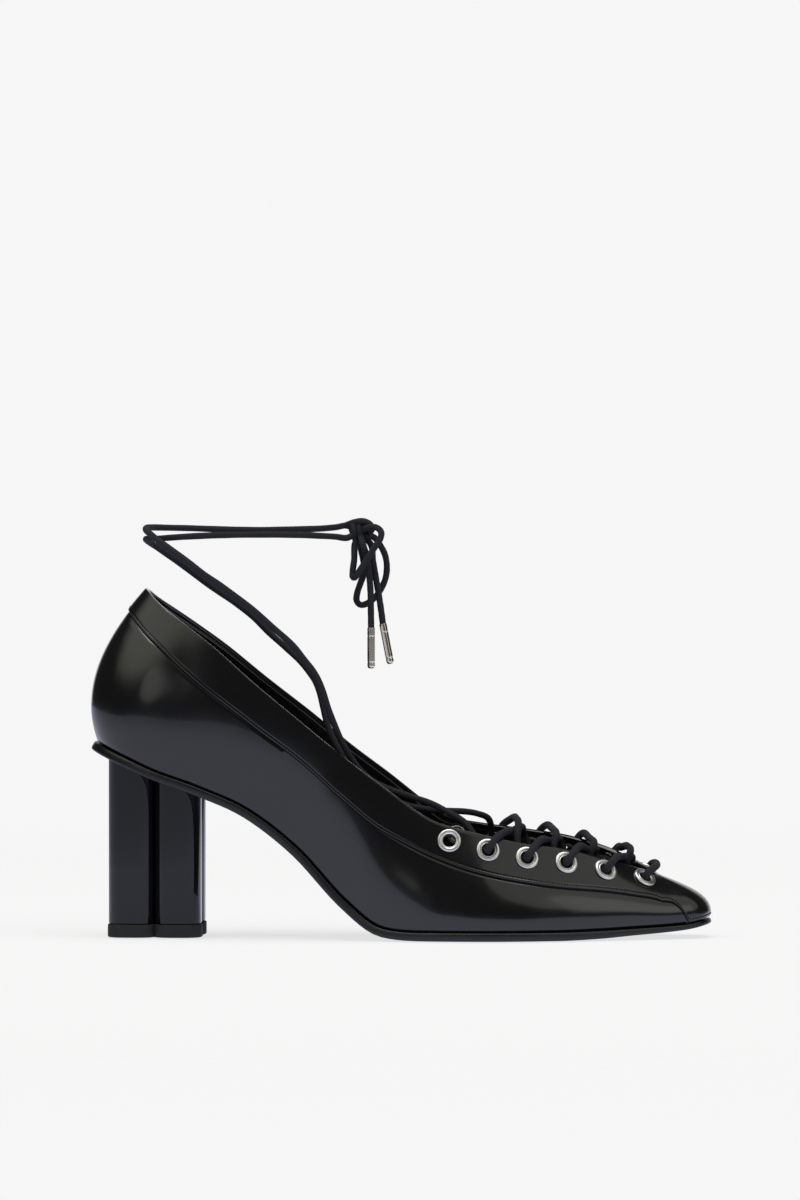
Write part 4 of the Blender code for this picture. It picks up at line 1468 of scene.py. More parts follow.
    def floor(self) -> None:
        """Add the pale floor, which fades into the backdrop away from the shoe."""
        work = bmesh.new()
        bmesh.ops.create_circle(work, cap_ends=True, segments=self.floor_sides,
                                radius=self.floor_radius)
        mesh = bpy.data.meshes.new("floor")
        work.to_mesh(mesh)
        work.free()
        material = bpy.data.materials.new("pale_floor")
        material.use_nodes = True
        bench = Bench(material.node_tree)
        material.node_tree.nodes.clear()
        shade = bench.add("ShaderNodeBsdfDiffuse")
        shade.inputs["Color"].default_value = opaque(self.floor_tone)
        glow = bench.add("ShaderNodeEmission")
        glow.inputs["Strength"].default_value = self.floor_glow
        lit = bench.add("ShaderNodeAddShader")
        bench.feed(lit.inputs[0], shade.outputs[0])
        bench.feed(lit.inputs[1], glow.outputs[0])
        clear = bench.add("ShaderNodeBsdfTransparent")
        place = bench.add("ShaderNodeTexCoord")
        size = bench.add("ShaderNodeVectorMath", operation="LENGTH")
        bench.feed(size.inputs[0], place.outputs["Object"])
        fade = bench.add("ShaderNodeMapRange", interpolation_type="SMOOTHERSTEP")
        bench.feed(fade.inputs["Value"], size.outputs["Value"])
        fade.inputs["From Min"].default_value = self.floor_fade[0]
        fade.inputs["From Max"].default_value = self.floor_fade[1]
        path = bench.add("ShaderNodeLightPath")
        reflected = bench.blend(fade.outputs["Result"], opaque(self.floor_near_reflection),
                                opaque(self.floor_far_reflection))
        bench.feed(glow.inputs["Color"], bench.blend(path.outputs["Is Camera Ray"], reflected,
                                                     (1.0, 1.0, 1.0, 1.0)))
        shown = bench.maths("MULTIPLY", fade.outputs["Result"], path.outputs["Is Camera Ray"])
        mix = bench.add("ShaderNodeMixShader")
        bench.feed(mix.inputs[0], shown)
        bench.feed(mix.inputs[1], lit.outputs[0])
        bench.feed(mix.inputs[2], clear.outputs[0])
        out = bench.add("ShaderNodeOutputMaterial")
        bench.feed(out.inputs["Surface"], mix.outputs[0])
        floor = add_piece("floor", mesh, [material])
        floor.location = self.floor_place
        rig.stage(floor)

    def build(self) -> None:
        """Make the camera, the lights, the surroundings and the floor."""
        bpy.context.scene.view_settings.view_transform = "Standard"
        self.camera()
        self.lights()
        self.world()
        self.floor()


# Eyelets and their seats


class Seat(NamedTuple):
    """Where an eyelet sits on the outer face of the overlay."""

    centre: Vector
    normal: Vector
    place: float


@dataclass
class Eyelets:
    """Twelve plated eyelets, six a side, all copies of one turned ring."""

    last: Last
    count: int = 6
    from_toe: float = 0.0269
    pitch: float = 0.0154
    inset: float = 0.0062
    hole: float = 0.0054
    barrel: float = 0.0004
    sides: int = 40
    rim_profile: tuple[tuple[float, float], ...] = (
        (4.55, 0.02), (4.73, 0.10), (4.75, 0.30), (4.69, 0.56), (4.52, 0.78), (4.24, 0.92),
        (3.84, 0.97), (3.50, 0.93), (3.30, 0.82), (3.22, 0.64), (3.12, 0.60), (3.02, 0.68),
        (2.90, 0.72), (2.78, 0.66), (2.70, 0.48), (2.66, 0.20), (2.66, -1.60), (2.68, -3.40),
        (2.80, -3.78), (3.20, -3.84), (3.70, -3.78), (3.88, -3.60), (3.74, -3.44), (3.10, -3.38),
        (3.06, -1.60), (3.06, -0.10), (3.60, 0.00),
    )

    def seats(self, side: Side) -> list[Seat]:
        """Return the seats of one side, from the one nearest the heel to the toe's."""
        return [self.seat(index, side) for index in range(self.count)]

    def seat(self, index: int, side: Side) -> Seat:
        """Return the seat of one eyelet.

        Args:
            index: The eyelet's number, from 0 next to the heel.
            side: The side of the shoe.

        Returns:
            The seat.
        """
        last = self.last
        target = last.along(1.0) - self.from_toe - (self.count - 1 - index) * self.pitch

        def ring_place(place: float) -> float:
            """Return a place of the outer side on the side that is wanted."""
            return place if side is Side.OUTER else STATIONS - place

        low, high = TOE_PLACE / 2, TOE_PLACE - 1.0
        for _ in range(HALVINGS):
            middle = (low + high) / 2
            spot = ring_place(middle)
            if last.side(spot, last.inset_height(spot, self.inset)).x < target:
                low = middle
            else:
                high = middle
        place = ring_place((low + high) / 2)
        height = last.inset_height(place, self.inset)
        return Seat(last.offset(place, height, last.overlay_step), last.normal(place, height), place)

    def ring(self) -> bpy.types.Object:
        """Return one eyelet at the origin, with its axis along Z.

        Returns:
            The ring, which is only a pattern for the copies.
        """
        profile = [(radius * MM, height * MM) for radius, height in self.rim_profile]
        mesh = turned("eyelet_ring", profile, self.sides, True)
        obj = bpy.data.objects.new("eyelet_ring", mesh)
        bpy.context.scene.collection.objects.link(obj)
        return obj

    def tree(self, material: bpy.types.Material) -> bpy.types.NodeTree:
        """Return the tree that sets a ring on each seat and turns it to the leather.

        Args:
            material: The rings' material.

        Returns:
            The geometry tree.
        """
        tree = bpy.data.node_groups.new("eyelet_rows", "GeometryNodeTree")
        tree.is_modifier = True
        tree.interface.new_socket("Geometry", in_out="INPUT", socket_type="NodeSocketGeometry")
        tree.interface.new_socket("Ring", in_out="INPUT", socket_type="NodeSocketObject")
        tree.interface.new_socket("Size", in_out="INPUT", socket_type="NodeSocketFloat")
        tree.interface.new_socket("Geometry", in_out="OUTPUT", socket_type="NodeSocketGeometry")
        bench = Bench(tree)
        given = bench.add("NodeGroupInput")
        out = bench.add("NodeGroupOutput")
        ring = bench.add("GeometryNodeObjectInfo")
        bench.feed(ring.inputs["Object"], given.outputs["Ring"])
        facing = bench.add("GeometryNodeInputNamedAttribute", data_type="FLOAT_VECTOR")
        facing.inputs["Name"].default_value = "facing"
        turn = bench.add("FunctionNodeAlignRotationToVector", axis="Z")
        bench.feed(turn.inputs["Vector"], facing.outputs["Attribute"])
        copies = bench.add("GeometryNodeInstanceOnPoints")
        bench.feed(copies.inputs["Points"], given.outputs["Geometry"])
        bench.feed(copies.inputs["Instance"], ring.outputs["Geometry"])
        bench.feed(copies.inputs["Rotation"], turn.outputs["Rotation"])
        bench.feed(copies.inputs["Scale"], given.outputs["Size"])
        real = bench.add("GeometryNodeRealizeInstances")
        bench.feed(real.inputs["Geometry"], copies.outputs["Instances"])
        dressed = bench.add("GeometryNodeSetMaterial")
        bench.feed(dressed.inputs["Geometry"], real.outputs["Geometry"])
        dressed.inputs["Material"].default_value = material
        bench.feed(out.inputs["Geometry"], dressed.outputs["Geometry"])
        return tree

    def build(self) -> bpy.types.Object:
        """Build all the eyelets as one piece in place of the CAD's.

        Returns:
            The finished piece.
        """
        seats = self.seats(Side.OUTER) + self.seats(Side.INNER)
        material = EYELET_METAL.material()
        ring = self.ring()
        guide = guide_mesh("eyelet_seats", [seat.centre for seat in seats],
                           [seat.normal for seat in seats], [])
        piece = grown_piece("eyelets", guide, self.tree(material), {"Ring": ring, "Size": 1.0}, [material])
        bpy.data.objects.remove(ring, do_unlink=True)
        nodes = [f"eyelet_{side.name.lower()}_{number}" for side in Side
                 for number in range(1, self.count + 1)]
        settle(piece, "eyelet_metal", *nodes)
        return piece


def guide_mesh(name: str, points: Sequence[Vector], facing: Sequence[Vector],
               edges: Sequence[tuple[int, int]]) -> bpy.types.Mesh:
    """Return points, joined by edges, that carry the direction out of the surface.

    Args:
        name: The mesh's name.
        points: Its points.
        facing: The direction out of the surface at each point.
        edges: The pairs of points that are joined.

    Returns:
        The mesh.
    """
    mesh = bpy.data.meshes.new(name)
    mesh.from_pydata([tuple(point) for point in points], list(edges), [])
    attribute = mesh.attributes.new("facing", "FLOAT_VECTOR", "POINT")
    for value, normal in zip(attribute.data, facing):
        value.vector = normal
    return mesh


def grown_piece(name: str, guide: bpy.types.Mesh, tree: bpy.types.NodeTree, values: dict[str, object],
                materials: Sequence[bpy.types.Material]) -> bpy.types.Object:
    """Run a geometry tree on a guide and return the result as a plain piece.

    Args:
        name: The piece's name.
        guide: The mesh that the tree starts from.
        tree: The geometry tree.
        values: The values of the tree's inputs, by name.
        materials: The piece's materials.

    Returns:
        The piece, with no modifier left on it.
    """
    carrier = bpy.data.objects.new(name + "_guide", guide)
    bpy.context.scene.collection.objects.link(carrier)
    modifier = carrier.modifiers.new("grow", "NODES")
    modifier.node_group = tree
    for item in tree.interface.items_tree:
        if item.item_type == "SOCKET" and item.in_out == "INPUT" and item.name in values:
            modifier[item.identifier] = values[item.name]
    graph = bpy.context.evaluated_depsgraph_get()
    mesh = bpy.data.meshes.new_from_object(carrier.evaluated_get(graph))
    carrier.modifiers.remove(modifier)
    bpy.data.objects.remove(carrier, do_unlink=True)
    facing = mesh.attributes.get("facing")
    if facing is not None:
        mesh.attributes.remove(facing)
    return add_piece(name, mesh, materials)


def settle(piece: bpy.types.Object, slot: str, *nodes: str) -> None:
    """Make a finished piece ride on the shoe, name its slot and the CAD nodes that it replaces.

    Args:
        piece: The finished piece.
        slot: The slot's name in the record.
        *nodes: The names of the CAD nodes that it stands for.
    """
    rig.ride(piece, "root")
    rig.slot(piece, slot)
    if nodes:
        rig.replaces(piece, *nodes)
    log.info("%s: %d faces", piece.name, len(piece.data.polygons))


# Stitches


@dataclass
class Stitching:
    """Rows of small stitches that follow lines on the leather."""

    pitch: float = 0.00125
    length: float = 0.00076
    thickness: float = 0.00056
    smallest: float = 0.88
    largest: float = 1.10
    seed: int = 7
    segments: int = 8
    rings: int = 5

    def tree(self, material: bpy.types.Material) -> bpy.types.NodeTree:
        """Return the tree that lays stitches along a line, turned to the surface.

        Args:
            material: The thread's material.

        Returns:
            The geometry tree.
        """
        tree = bpy.data.node_groups.new("stitch_row", "GeometryNodeTree")
        tree.is_modifier = True
        tree.interface.new_socket("Geometry", in_out="INPUT", socket_type="NodeSocketGeometry")
        for name in ("Pitch", "Length", "Thickness"):
            tree.interface.new_socket(name, in_out="INPUT", socket_type="NodeSocketFloat")
        tree.interface.new_socket("Seed", in_out="INPUT", socket_type="NodeSocketInt")
        tree.interface.new_socket("Geometry", in_out="OUTPUT", socket_type="NodeSocketGeometry")
        bench = Bench(tree)
        given = bench.add("NodeGroupInput")
        out = bench.add("NodeGroupOutput")
        line = bench.add("GeometryNodeMeshToCurve")
        bench.feed(line.inputs["Mesh"], given.outputs["Geometry"])
        spaced = bench.add("GeometryNodeResampleCurve", mode="LENGTH")
        bench.feed(spaced.inputs["Curve"], line.outputs["Curve"])
        bench.feed(spaced.inputs["Length"], given.outputs["Pitch"])
        facing = bench.add("GeometryNodeInputNamedAttribute", data_type="FLOAT_VECTOR")
        facing.inputs["Name"].default_value = "facing"
        upright = bench.add("FunctionNodeAlignRotationToVector", axis="Z")
        bench.feed(upright.inputs["Vector"], facing.outputs["Attribute"])
        tangent = bench.add("GeometryNodeInputTangent")
        turned_on = bench.add("FunctionNodeAlignRotationToVector", axis="X", pivot_axis="Z")
        bench.feed(turned_on.inputs["Rotation"], upright.outputs["Rotation"])
        bench.feed(turned_on.inputs["Vector"], tangent.outputs["Tangent"])
        thread = bench.add("GeometryNodeMeshUVSphere")
        thread.inputs["Segments"].default_value = self.segments
        thread.inputs["Rings"].default_value = self.rings
        thread.inputs["Radius"].default_value = 0.5
        shape = bench.add("ShaderNodeCombineXYZ")
        for axis, name in enumerate(("Length", "Thickness", "Thickness")):
            bench.feed(shape.inputs[axis], given.outputs[name])
        sized = bench.add("GeometryNodeTransform")
        bench.feed(sized.inputs["Geometry"], thread.outputs["Mesh"])
        bench.feed(sized.inputs["Scale"], shape.outputs[0])
        vary = bench.add("FunctionNodeRandomValue", data_type="FLOAT")
        floats = [socket for socket in vary.inputs if socket.type == "VALUE"]
        floats[0].default_value = self.smallest
        floats[1].default_value = self.largest
        bench.feed(vary.inputs["Seed"], given.outputs["Seed"])
        factor = next(socket for socket in vary.outputs if socket.type == "VALUE")
        copies = bench.add("GeometryNodeInstanceOnPoints")
        bench.feed(copies.inputs["Points"], spaced.outputs["Curve"])
        bench.feed(copies.inputs["Instance"], sized.outputs["Geometry"])
        bench.feed(copies.inputs["Rotation"], turned_on.outputs["Rotation"])
        bench.feed(copies.inputs["Scale"], factor)
        real = bench.add("GeometryNodeRealizeInstances")
        bench.feed(real.inputs["Geometry"], copies.outputs["Instances"])
        dressed = bench.add("GeometryNodeSetMaterial")
        bench.feed(dressed.inputs["Geometry"], real.outputs["Geometry"])
        dressed.inputs["Material"].default_value = material
        bench.feed(out.inputs["Geometry"], dressed.outputs["Geometry"])
        return tree

    def build(self, name: str, points: Sequence[Vector], facing: Sequence[Vector], closed: bool,
              slot: str) -> bpy.types.Object:
        """Build one row of stitches.

        Args:
            name: The piece's name.
            points: The line that the stitches follow.
            facing: The direction out of the leather at each point.
            closed: Whether the line's end joins its start.
            slot: The record's slot that the thread belongs to.

        Returns:
            The piece.
        """
        edges = [(index, index + 1) for index in range(len(points) - 1)]
        if closed:
            edges.append((len(points) - 1, 0))
        material = bpy.data.materials.get(THREAD.name) or THREAD.material()
        values = {"Pitch": self.pitch, "Length": self.length, "Thickness": self.thickness,
                  "Seed": self.seed}
        guide = guide_mesh(name + "_line", points, facing, edges)
        piece = grown_piece(name, guide, self.tree(material), values, [material])
        settle(piece, slot)
        return piece


# Upper


class Crease(NamedTuple):
    """A soft trough in the leather between two places seen from the side, in metres."""

    side: Side
    start: tuple[float, float]
    end: tuple[float, float]
    width: float
    depth: float


class UpperPart(Enum):
    """The material slots of the upper's mesh."""

    LEATHER = 0
    EDGE = 1
    LINING = 2


@dataclass
class Upper:
    """The leather wall round the foot: quarter, raised overlay, turned edge and lining."""

    last: Last
    eyelets: Eyelets
    columns_per_station: int = 10
    dense_from: float = 16.0
    dense_columns: int = 18
    quarter_rows: int = 24
    overlay_rows: int = 12
    lining_rows: int = 22
    feather: float = 0.0011
    feather_tuck: float = 0.0006
    feather_shares: tuple[float, ...] = (0.12, 0.35, 0.65)
    groove: float = 0.00032
    crevice_width: float = 0.0006
    crevice_place: float = 0.45
    crevice_depth: float = 0.7
    overlay_room: float = 0.008
    # How far up in millimetres, and the share of the overlay's step.
    overlay_rise: tuple[tuple[float, float], ...] = (
        (0.03, 0.40), (0.10, 0.74), (0.22, 0.93), (0.42, 1.00), (0.64, 1.00))
    edge_rounding: float = 0.0005
    edge_degrees: tuple[float, ...] = (28, 52, 72, 90, 108, 128, 152)
    stitch_inset: float = 0.0013
    stitch_trough: float = 0.00012
    stitch_trough_width: float = 0.00045
    # The share of the trough's half width, and the share of its depth.
    trough_shape: tuple[tuple[float, float], ...] = (
        (-1.0, 0.0), (-0.5, 0.6), (0.0, 1.0), (0.5, 0.6), (1.0, 0.0))
    trough_end: float = 1.6
    edge_wall: float = 0.0011
    wall_grows_over: float = 0.006
    lining_seam: float = 0.0027
    lining_top: tuple[float, ...] = (0.0006, 0.0014)
    lining_dent: float = 0.00022
    lining_dent_half: float = 0.0003
    lining_dent_end: float = 0.0009
    lining_stitch_drop: float = 0.0011
    overlay_stitch_sink: float = 0.00012
    lining_stitch_rise: float = 0.00005
    hole_clearance: float = 0.0004
    punch_depth: float = 0.011
    punch_sides: int = 32
    smooth_angle: float = 40.0
    crease_least: float = 0.000001
    creases: tuple[Crease, ...] = (
        Crease(Side.OUTER, (0.112, 0.014), (0.128, 0.030), 0.0100, 0.00022),
        Crease(Side.OUTER, (0.130, 0.016), (0.144, 0.028), 0.0080, 0.00014),
        Crease(Side.OUTER, (0.060, 0.050), (0.075, 0.070), 0.0080, 0.00020),
        Crease(Side.INNER, (0.112, 0.012), (0.128, 0.026), 0.0050, 0.00022),
        Crease(Side.INNER, (0.128, 0.010), (0.143, 0.022), 0.0040, 0.00018),
        Crease(Side.INNER, (0.058, 0.050), (0.074, 0.070), 0.0080, 0.00020),
    )

    def column_places(self) -> list[float]:
        """Return the places of the mesh's columns, closer together round the toe.

        Returns:
            The places, from the heel down the outer side and back.
        """
        places = []
        for station in range(STATIONS):
            from_heel = min(station, STATIONS - 1 - station)
            count = self.dense_columns if from_heel >= self.dense_from else self.columns_per_station
            places += [station + column / count for column in range(count)]
        return places

    def crease_depth(self, spot: Vector) -> float:
        """Return how deep the creases press the leather in at a point.

        Args:
            spot: The point.

        Returns:
            The depth in metres.
        """
        depth = 0.0
        for crease in self.creases:
            if spot.y * crease.side.value <= 0:
                continue
            start = Vector(crease.start)
            run = Vector(crease.end) - start
            here = Vector((spot.x, spot.z)) - start
            share = here.dot(run) / run.length_squared
            nearest = start + min(1.0, max(0.0, share)) * run
            distance = (Vector((spot.x, spot.z)) - nearest).length
            fade = math.exp(-0.5 * (distance / (crease.width / 2)) ** 2)
            depth += crease.depth * fade
        return depth

    def skin(self, place: float, height: float, distance: float) -> Vector:
        """Return a point of the outer leather, with the creases pressed in.

        Args:
            place: The place round the shoe.
            height: The height on the side, from 0 at the sole to 1 at the top.
            distance: How far out the leather stands.

        Returns:
            The point.
        """
        spot = self.last.offset(place, height, distance)
        depth = self.crease_depth(spot)
        if depth < self.crease_least:
            return spot
        return spot - depth * self.last.normal(place, max(height, self.last.height_nudge))

    def quarter(self, place: float) -> list[Vector]:
        """Return the quarter's points from the sole up to the overlay's edge.

        Args:
            place: The place round the shoe.

        Returns:
            The points, from the bottom up.
        """
        last = self.last
        seam = last.seam(place)
        rate = last.climb_rate(place, 0.0)
        lift = min(self.feather / rate, seam / 3)
        points = [last.plan_offset(place, -self.feather_tuck, last.gap)]
        for share in self.feather_shares:
            tuck = self.feather_tuck * (1 - math.sin(share * math.pi / 2))
            points.append(self.skin(place, share * lift, -tuck))
        crevice = min(self.crevice_width / last.climb_rate(place, seam), (seam - lift) / 3)
        for row in range(self.quarter_rows + 1):
            height = lift + (seam - crevice - lift) * row / self.quarter_rows
            points.append(self.skin(place, height, 0.0))
        foot = seam - self.crevice_place * crevice
        points.append(self.skin(place, foot, -self.crevice_depth * self.groove))
        return points

    def overlay(self, place: float) -> list[Vector]:
        """Return the overlay's points, from its raised lower edge to the top edge.

        Args:
            place: The place round the shoe.

        Returns:
            The points, from the bottom up.
        """
        last = self.last
        seam = last.seam(place)
        rate = last.climb_rate(place, seam)
        step = last.overlay_step
        room = max(0.0, 1.0 - seam) * rate
        scale = min(1.0, room / self.overlay_room)
        points = [self.skin(place, seam, -self.groove)]
        for millimetres, share in self.overlay_rise:
            points.append(self.skin(place, seam + millimetres * MM * scale / rate, share * step))
        trough = self.stitch_inset * scale
        width = self.stitch_trough_width * scale
        for share, depth in self.trough_shape:
            height = seam + (trough + share * width) / rate
            points.append(self.skin(place, height, step - depth * self.stitch_trough))
        start = seam + (trough + self.trough_end * width) / rate
        turn = self.edge_rounding / last.climb_rate(place, 1.0)
        stop = 1.0 - turn
        for row in range(self.overlay_rows + 1):
            height = start + (stop - start) * row / self.overlay_rows
            points.append(self.skin(place, height, step))
        return points

    def edge(self, place: float) -> list[Vector]:
        """Return the cut edge's points, rounded from the overlay over to the lining.

        Args:
            place: The place round the shoe.

        Returns:
            The points, from the outside in.
        """
        last = self.last
        outer = last.overlay_step
        inner = -self.edge_wall
        middle = (outer + inner) / 2
        half = (outer - inner) / 2
        top = last.side(place, 1.0)
        normal = last.normal(place, 1.0)
        climb = (top - last.side(place, 1.0 - last.height_nudge)).normalized()
        points = []
        for degrees in self.edge_degrees:
            angle = math.radians(degrees)
            across = middle + half * math.cos(angle)
            drop = -self.edge_rounding + self.edge_rounding * math.sin(angle) ** 0.5
            points.append(top + across * normal + drop * climb)
        return points

    def lining(self, place: float) -> list[Vector]:
        """Return the lining's points, from the top edge down to the insole.

        Args:
            place: The place round the shoe.

        Returns:
            The points, from the top down.
        """
        last = self.last
        rate = last.climb_rate(place, 1.0)
        points = []
        heights = [*self.lining_top, self.lining_seam - self.lining_dent_half, self.lining_seam,
                   self.lining_seam + self.lining_dent_half, self.lining_seam + self.lining_dent_end]
        for drop in heights:
            dent = self.lining_dent if drop == self.lining_seam else 0.0
            points.append(last.offset(place, 1.0 - drop / rate, -self.wall_at(drop) - dent))
        start = 1.0 - heights[-1] / rate
        for row in range(1, self.lining_rows + 1):
            height = start * (1 - row / self.lining_rows)
            drop = heights[-1] + (start - height) * rate
            points.append(last.offset(place, height, -self.wall_at(drop)))
        return points

    def wall_at(self, drop: float) -> float:
        """Return how far in the lining lies at a drop below the top edge."""
        share = min(1.0, drop / self.wall_grows_over)
        return self.edge_wall + (self.last.wall - self.edge_wall) * share

    def shell(self) -> bpy.types.Mesh:
        """Return the whole wall as one closed mesh with its three kinds of surface.

        Returns:
            The closed mesh.
        """
        rows = []
        for place in self.column_places():
            quarter, overlay = self.quarter(place), self.overlay(place)
            edge, lining = self.edge(place), self.lining(place)
            rows.append(quarter + overlay + edge + lining)
        leather = len(quarter) + len(overlay)
        trim = leather + len(edge)
        points, faces = loft(rows, True, True)
        parts = []
        for _ in rows:
            for column in range(len(rows[0])):
                if column < leather:
                    parts.append(UpperPart.LEATHER.value)
                elif column < trim - 1:
                    parts.append(UpperPart.EDGE.value)
                else:
                    parts.append(UpperPart.LINING.value)
        return mesh_of("upper_shell", points, faces, parts)

    def punch(self, obj: bpy.types.Object) -> None:
        """Cut the eyelets' holes through the wall.

        Args:
            obj: The upper, whose mesh is replaced.
        """
        eyelets = self.eyelets
        work = bmesh.new()
        radius = eyelets.hole / 2 + eyelets.barrel + self.hole_clearance
        for side in Side:
            for seat in eyelets.seats(side):
                bmesh.ops.create_cone(work, cap_ends=True, segments=self.punch_sides, radius1=radius,
                                      radius2=radius, depth=self.punch_depth,
                                      matrix=frame_at(seat.centre, seat.normal))
        mesh = bpy.data.meshes.new("punches")
        work.to_mesh(mesh)
        work.free()
        cutter = bpy.data.objects.new("punches", mesh)
        bpy.context.scene.collection.objects.link(cutter)
        modifier = obj.modifiers.new("punch", "BOOLEAN")
        modifier.operation = "DIFFERENCE"
        modifier.solver = "EXACT"
        modifier.object = cutter
        graph = bpy.context.evaluated_depsgraph_get()
        cut = bpy.data.meshes.new_from_object(obj.evaluated_get(graph))
        obj.modifiers.remove(modifier)
        bpy.data.objects.remove(cutter, do_unlink=True)
        obj.data = cut
        cut.name = obj.name
        cut.shade_smooth()
        cut.set_sharp_from_angle(angle=math.radians(self.smooth_angle))

    def build(self) -> bpy.types.Object:
        """Build the upper with its holes, in place of the CAD's.

        Returns:
            The finished piece.
        """
        materials = [UPPER_LEATHER.material(), EDGE_LEATHER.material(), LINING_LEATHER.material()]
        piece = add_piece("upper_leather", self.shell(), materials)
        self.punch(piece)
        settle(piece, "upper_leather", "upper")
        return piece

    def overlay_stitches(self) -> tuple[list[Vector], list[Vector]]:
        """Return the line and directions of the stitch row along the overlay's edge.

        Returns:
            The points and the direction out of the leather at each.
        """
        points, facing = [], []
        last = self.last
        for place in self.column_places():
            seam = last.seam(place)
            rate = last.climb_rate(place, seam)
            scale = min(1.0, (1.0 - seam) * rate / self.overlay_room)
            height = seam + self.stitch_inset * scale / rate
            points.append(self.skin(place, height, last.overlay_step - self.overlay_stitch_sink))
            facing.append(last.normal(place, height))
        return points, facing

    def lining_stitches(self) -> tuple[list[Vector], list[Vector]]:
        """Return the line and directions of the stitch row inside the collar.

        Returns:
            The points and the direction out of the lining at each.
        """
        points, facing = [], []
        last = self.last
        drop = self.lining_seam + self.lining_stitch_drop
        for place in self.column_places():
            height = 1.0 - drop / last.climb_rate(place, 1.0)
            points.append(last.offset(place, height, -self.wall_at(drop) - self.lining_stitch_rise))
            facing.append(-last.normal(place, height))
        return points, facing


# Sole, insole, heel and lift


@dataclass
class PlatePiece:
    """A plate under the foot, made of sections across the shoe with shaped edges."""

    last: Last
    steps_per_section: int = 6
    across: int = 10

    def section(self, place: float, edge: Sequence[tuple[float, float]], crown: float) -> list[Vector]:
        """Return one closed section, from the outer side's edge over to the inner's.

        Args:
            place: The place along the shoe, from the heel to the toe.
            edge: The edge's shape from top to bottom, as distances out of the foot's edge and
                lifts off the sole's top.
            crown: How far the middle of the top stands over its edges.

        Returns:
            The section's points.
        """
        outer = [self.last.plan_offset(place, out, lift) for out, lift in edge]
        inner = [self.last.plan_offset(STATIONS - place, out, lift) for out, lift in edge]
        bottom = self.row_between(outer[-1], inner[-1], 0.0)
        top = self.row_between(inner[0], outer[0], crown)
        return outer + bottom + inner[::-1] + top

    def row_between(self, start: Vector, end: Vector, crown: float) -> list[Vector]:
        """Return the points between two edge points, raised in the middle by a crown.

        Args:
            start: The first edge point.
            end: The last edge point.
            crown: How far the middle is raised.

        Returns:
            The points, without the two ends.
        """
        points = []
        for step in range(1, self.across):
            share = step / self.across
            points.append(start.lerp(end, share) + crown * math.sin(math.pi * share) * UP)
        return points

    def plate(self, name: str, edge_at: Callable[[float], Sequence[tuple[float, float]]], crown: float,
              part_of: Callable[[int, int], int]) -> bpy.types.Mesh:
        """Return the plate's closed mesh.

        Args:
            name: The mesh's name.
            edge_at: Gives the edge's shape at a place.
            crown: How far the middle of the top stands over its edges.
            part_of: Gives the material slot of a face from its place in the section and the
                number of the edge's points.

        Returns:
            The mesh.
        """
        rows = []
        for step in range(TOE_PLACE * self.steps_per_section + 1):
            place = step / self.steps_per_section
            rows.append(self.section(place, edge_at(place), crown))
        edge_points = len(edge_at(0.0))
        points, faces = loft(rows, False, True)
        width = len(rows[0])
        parts = [part_of(index % width, edge_points) for index in range(len(faces))]
        mesh = bpy.data.meshes.new(name)
        mesh.from_pydata([tuple(point) for point in points], [], faces)
        mesh.polygons.foreach_set("material_index", parts)
        return weld(mesh)


@dataclass
class Outsole(PlatePiece):
    """The sole: a thin plate a little proud of the upper, with a dressed edge."""

    lip: float = 0.0010
    under_upper: float = 0.004
    channel_inset: float = 0.0035
    channel_depth: float = 0.00025
    channel_half: float = 0.0004
    channel_points: int = 3
    top_inset: float = 0.0012
    # The share of the lip outwards, and the share of the thickness downwards.
    rim_shape: tuple[tuple[float, float], ...] = (
        (0.30, 0.00), (0.72, 0.03), (0.94, 0.12), (1.00, 0.30), (1.00, 0.50),
        (0.97, 0.72), (0.84, 0.90), (0.55, 0.98), (0.00, 1.00))
    smooth_angle: float = 50.0

    def edge_at(self, place: float) -> list[tuple[float, float]]:
        """Return the edge's shape at a place: welt, rounded edge and the bottom's channel.

        Args:
            place: The place round the shoe.

        Returns:
            Distances out of the foot's edge and lifts off the top.
        """
        thick = self.last.read("thick", place)
        top = [(-self.under_upper, 0.0), (-self.top_inset, 0.0)]
        rim = [(out * self.lip, -down * thick) for out, down in self.rim_shape]
        inset, half = self.channel_inset, self.channel_half
        channel = [(-inset + half, -thick), (-inset, -thick + self.channel_depth), (-inset - half, -thick)]
        return top + rim + channel

    def build(self) -> bpy.types.Object:
        """Build the sole in place of the CAD's.

        Returns:
            The finished piece.
        """
        def part_of(index: int, edge_points: int) -> int:
            """Return 1 for a face of the bottom and 0 for one of the edge or the top.

            Args:
                index: The face's number in its row round the plate.
                edge_points: How many points one edge has.

            Returns:
                The number of the material slot.
            """
            bottom_start = len(self.rim_shape) + 1
            bottom_end = edge_points + self.across + self.channel_points
            return int(bottom_start <= index < bottom_end)

        mesh = self.plate("sole", self.edge_at, 0.0, part_of)
        piece = add_piece("leather_sole", mesh, [SOLE_EDGE.material(), SOLE_BOTTOM.material()],
                          self.smooth_angle)
        settle(piece, "sole_rubber", "outsole")
        return piece


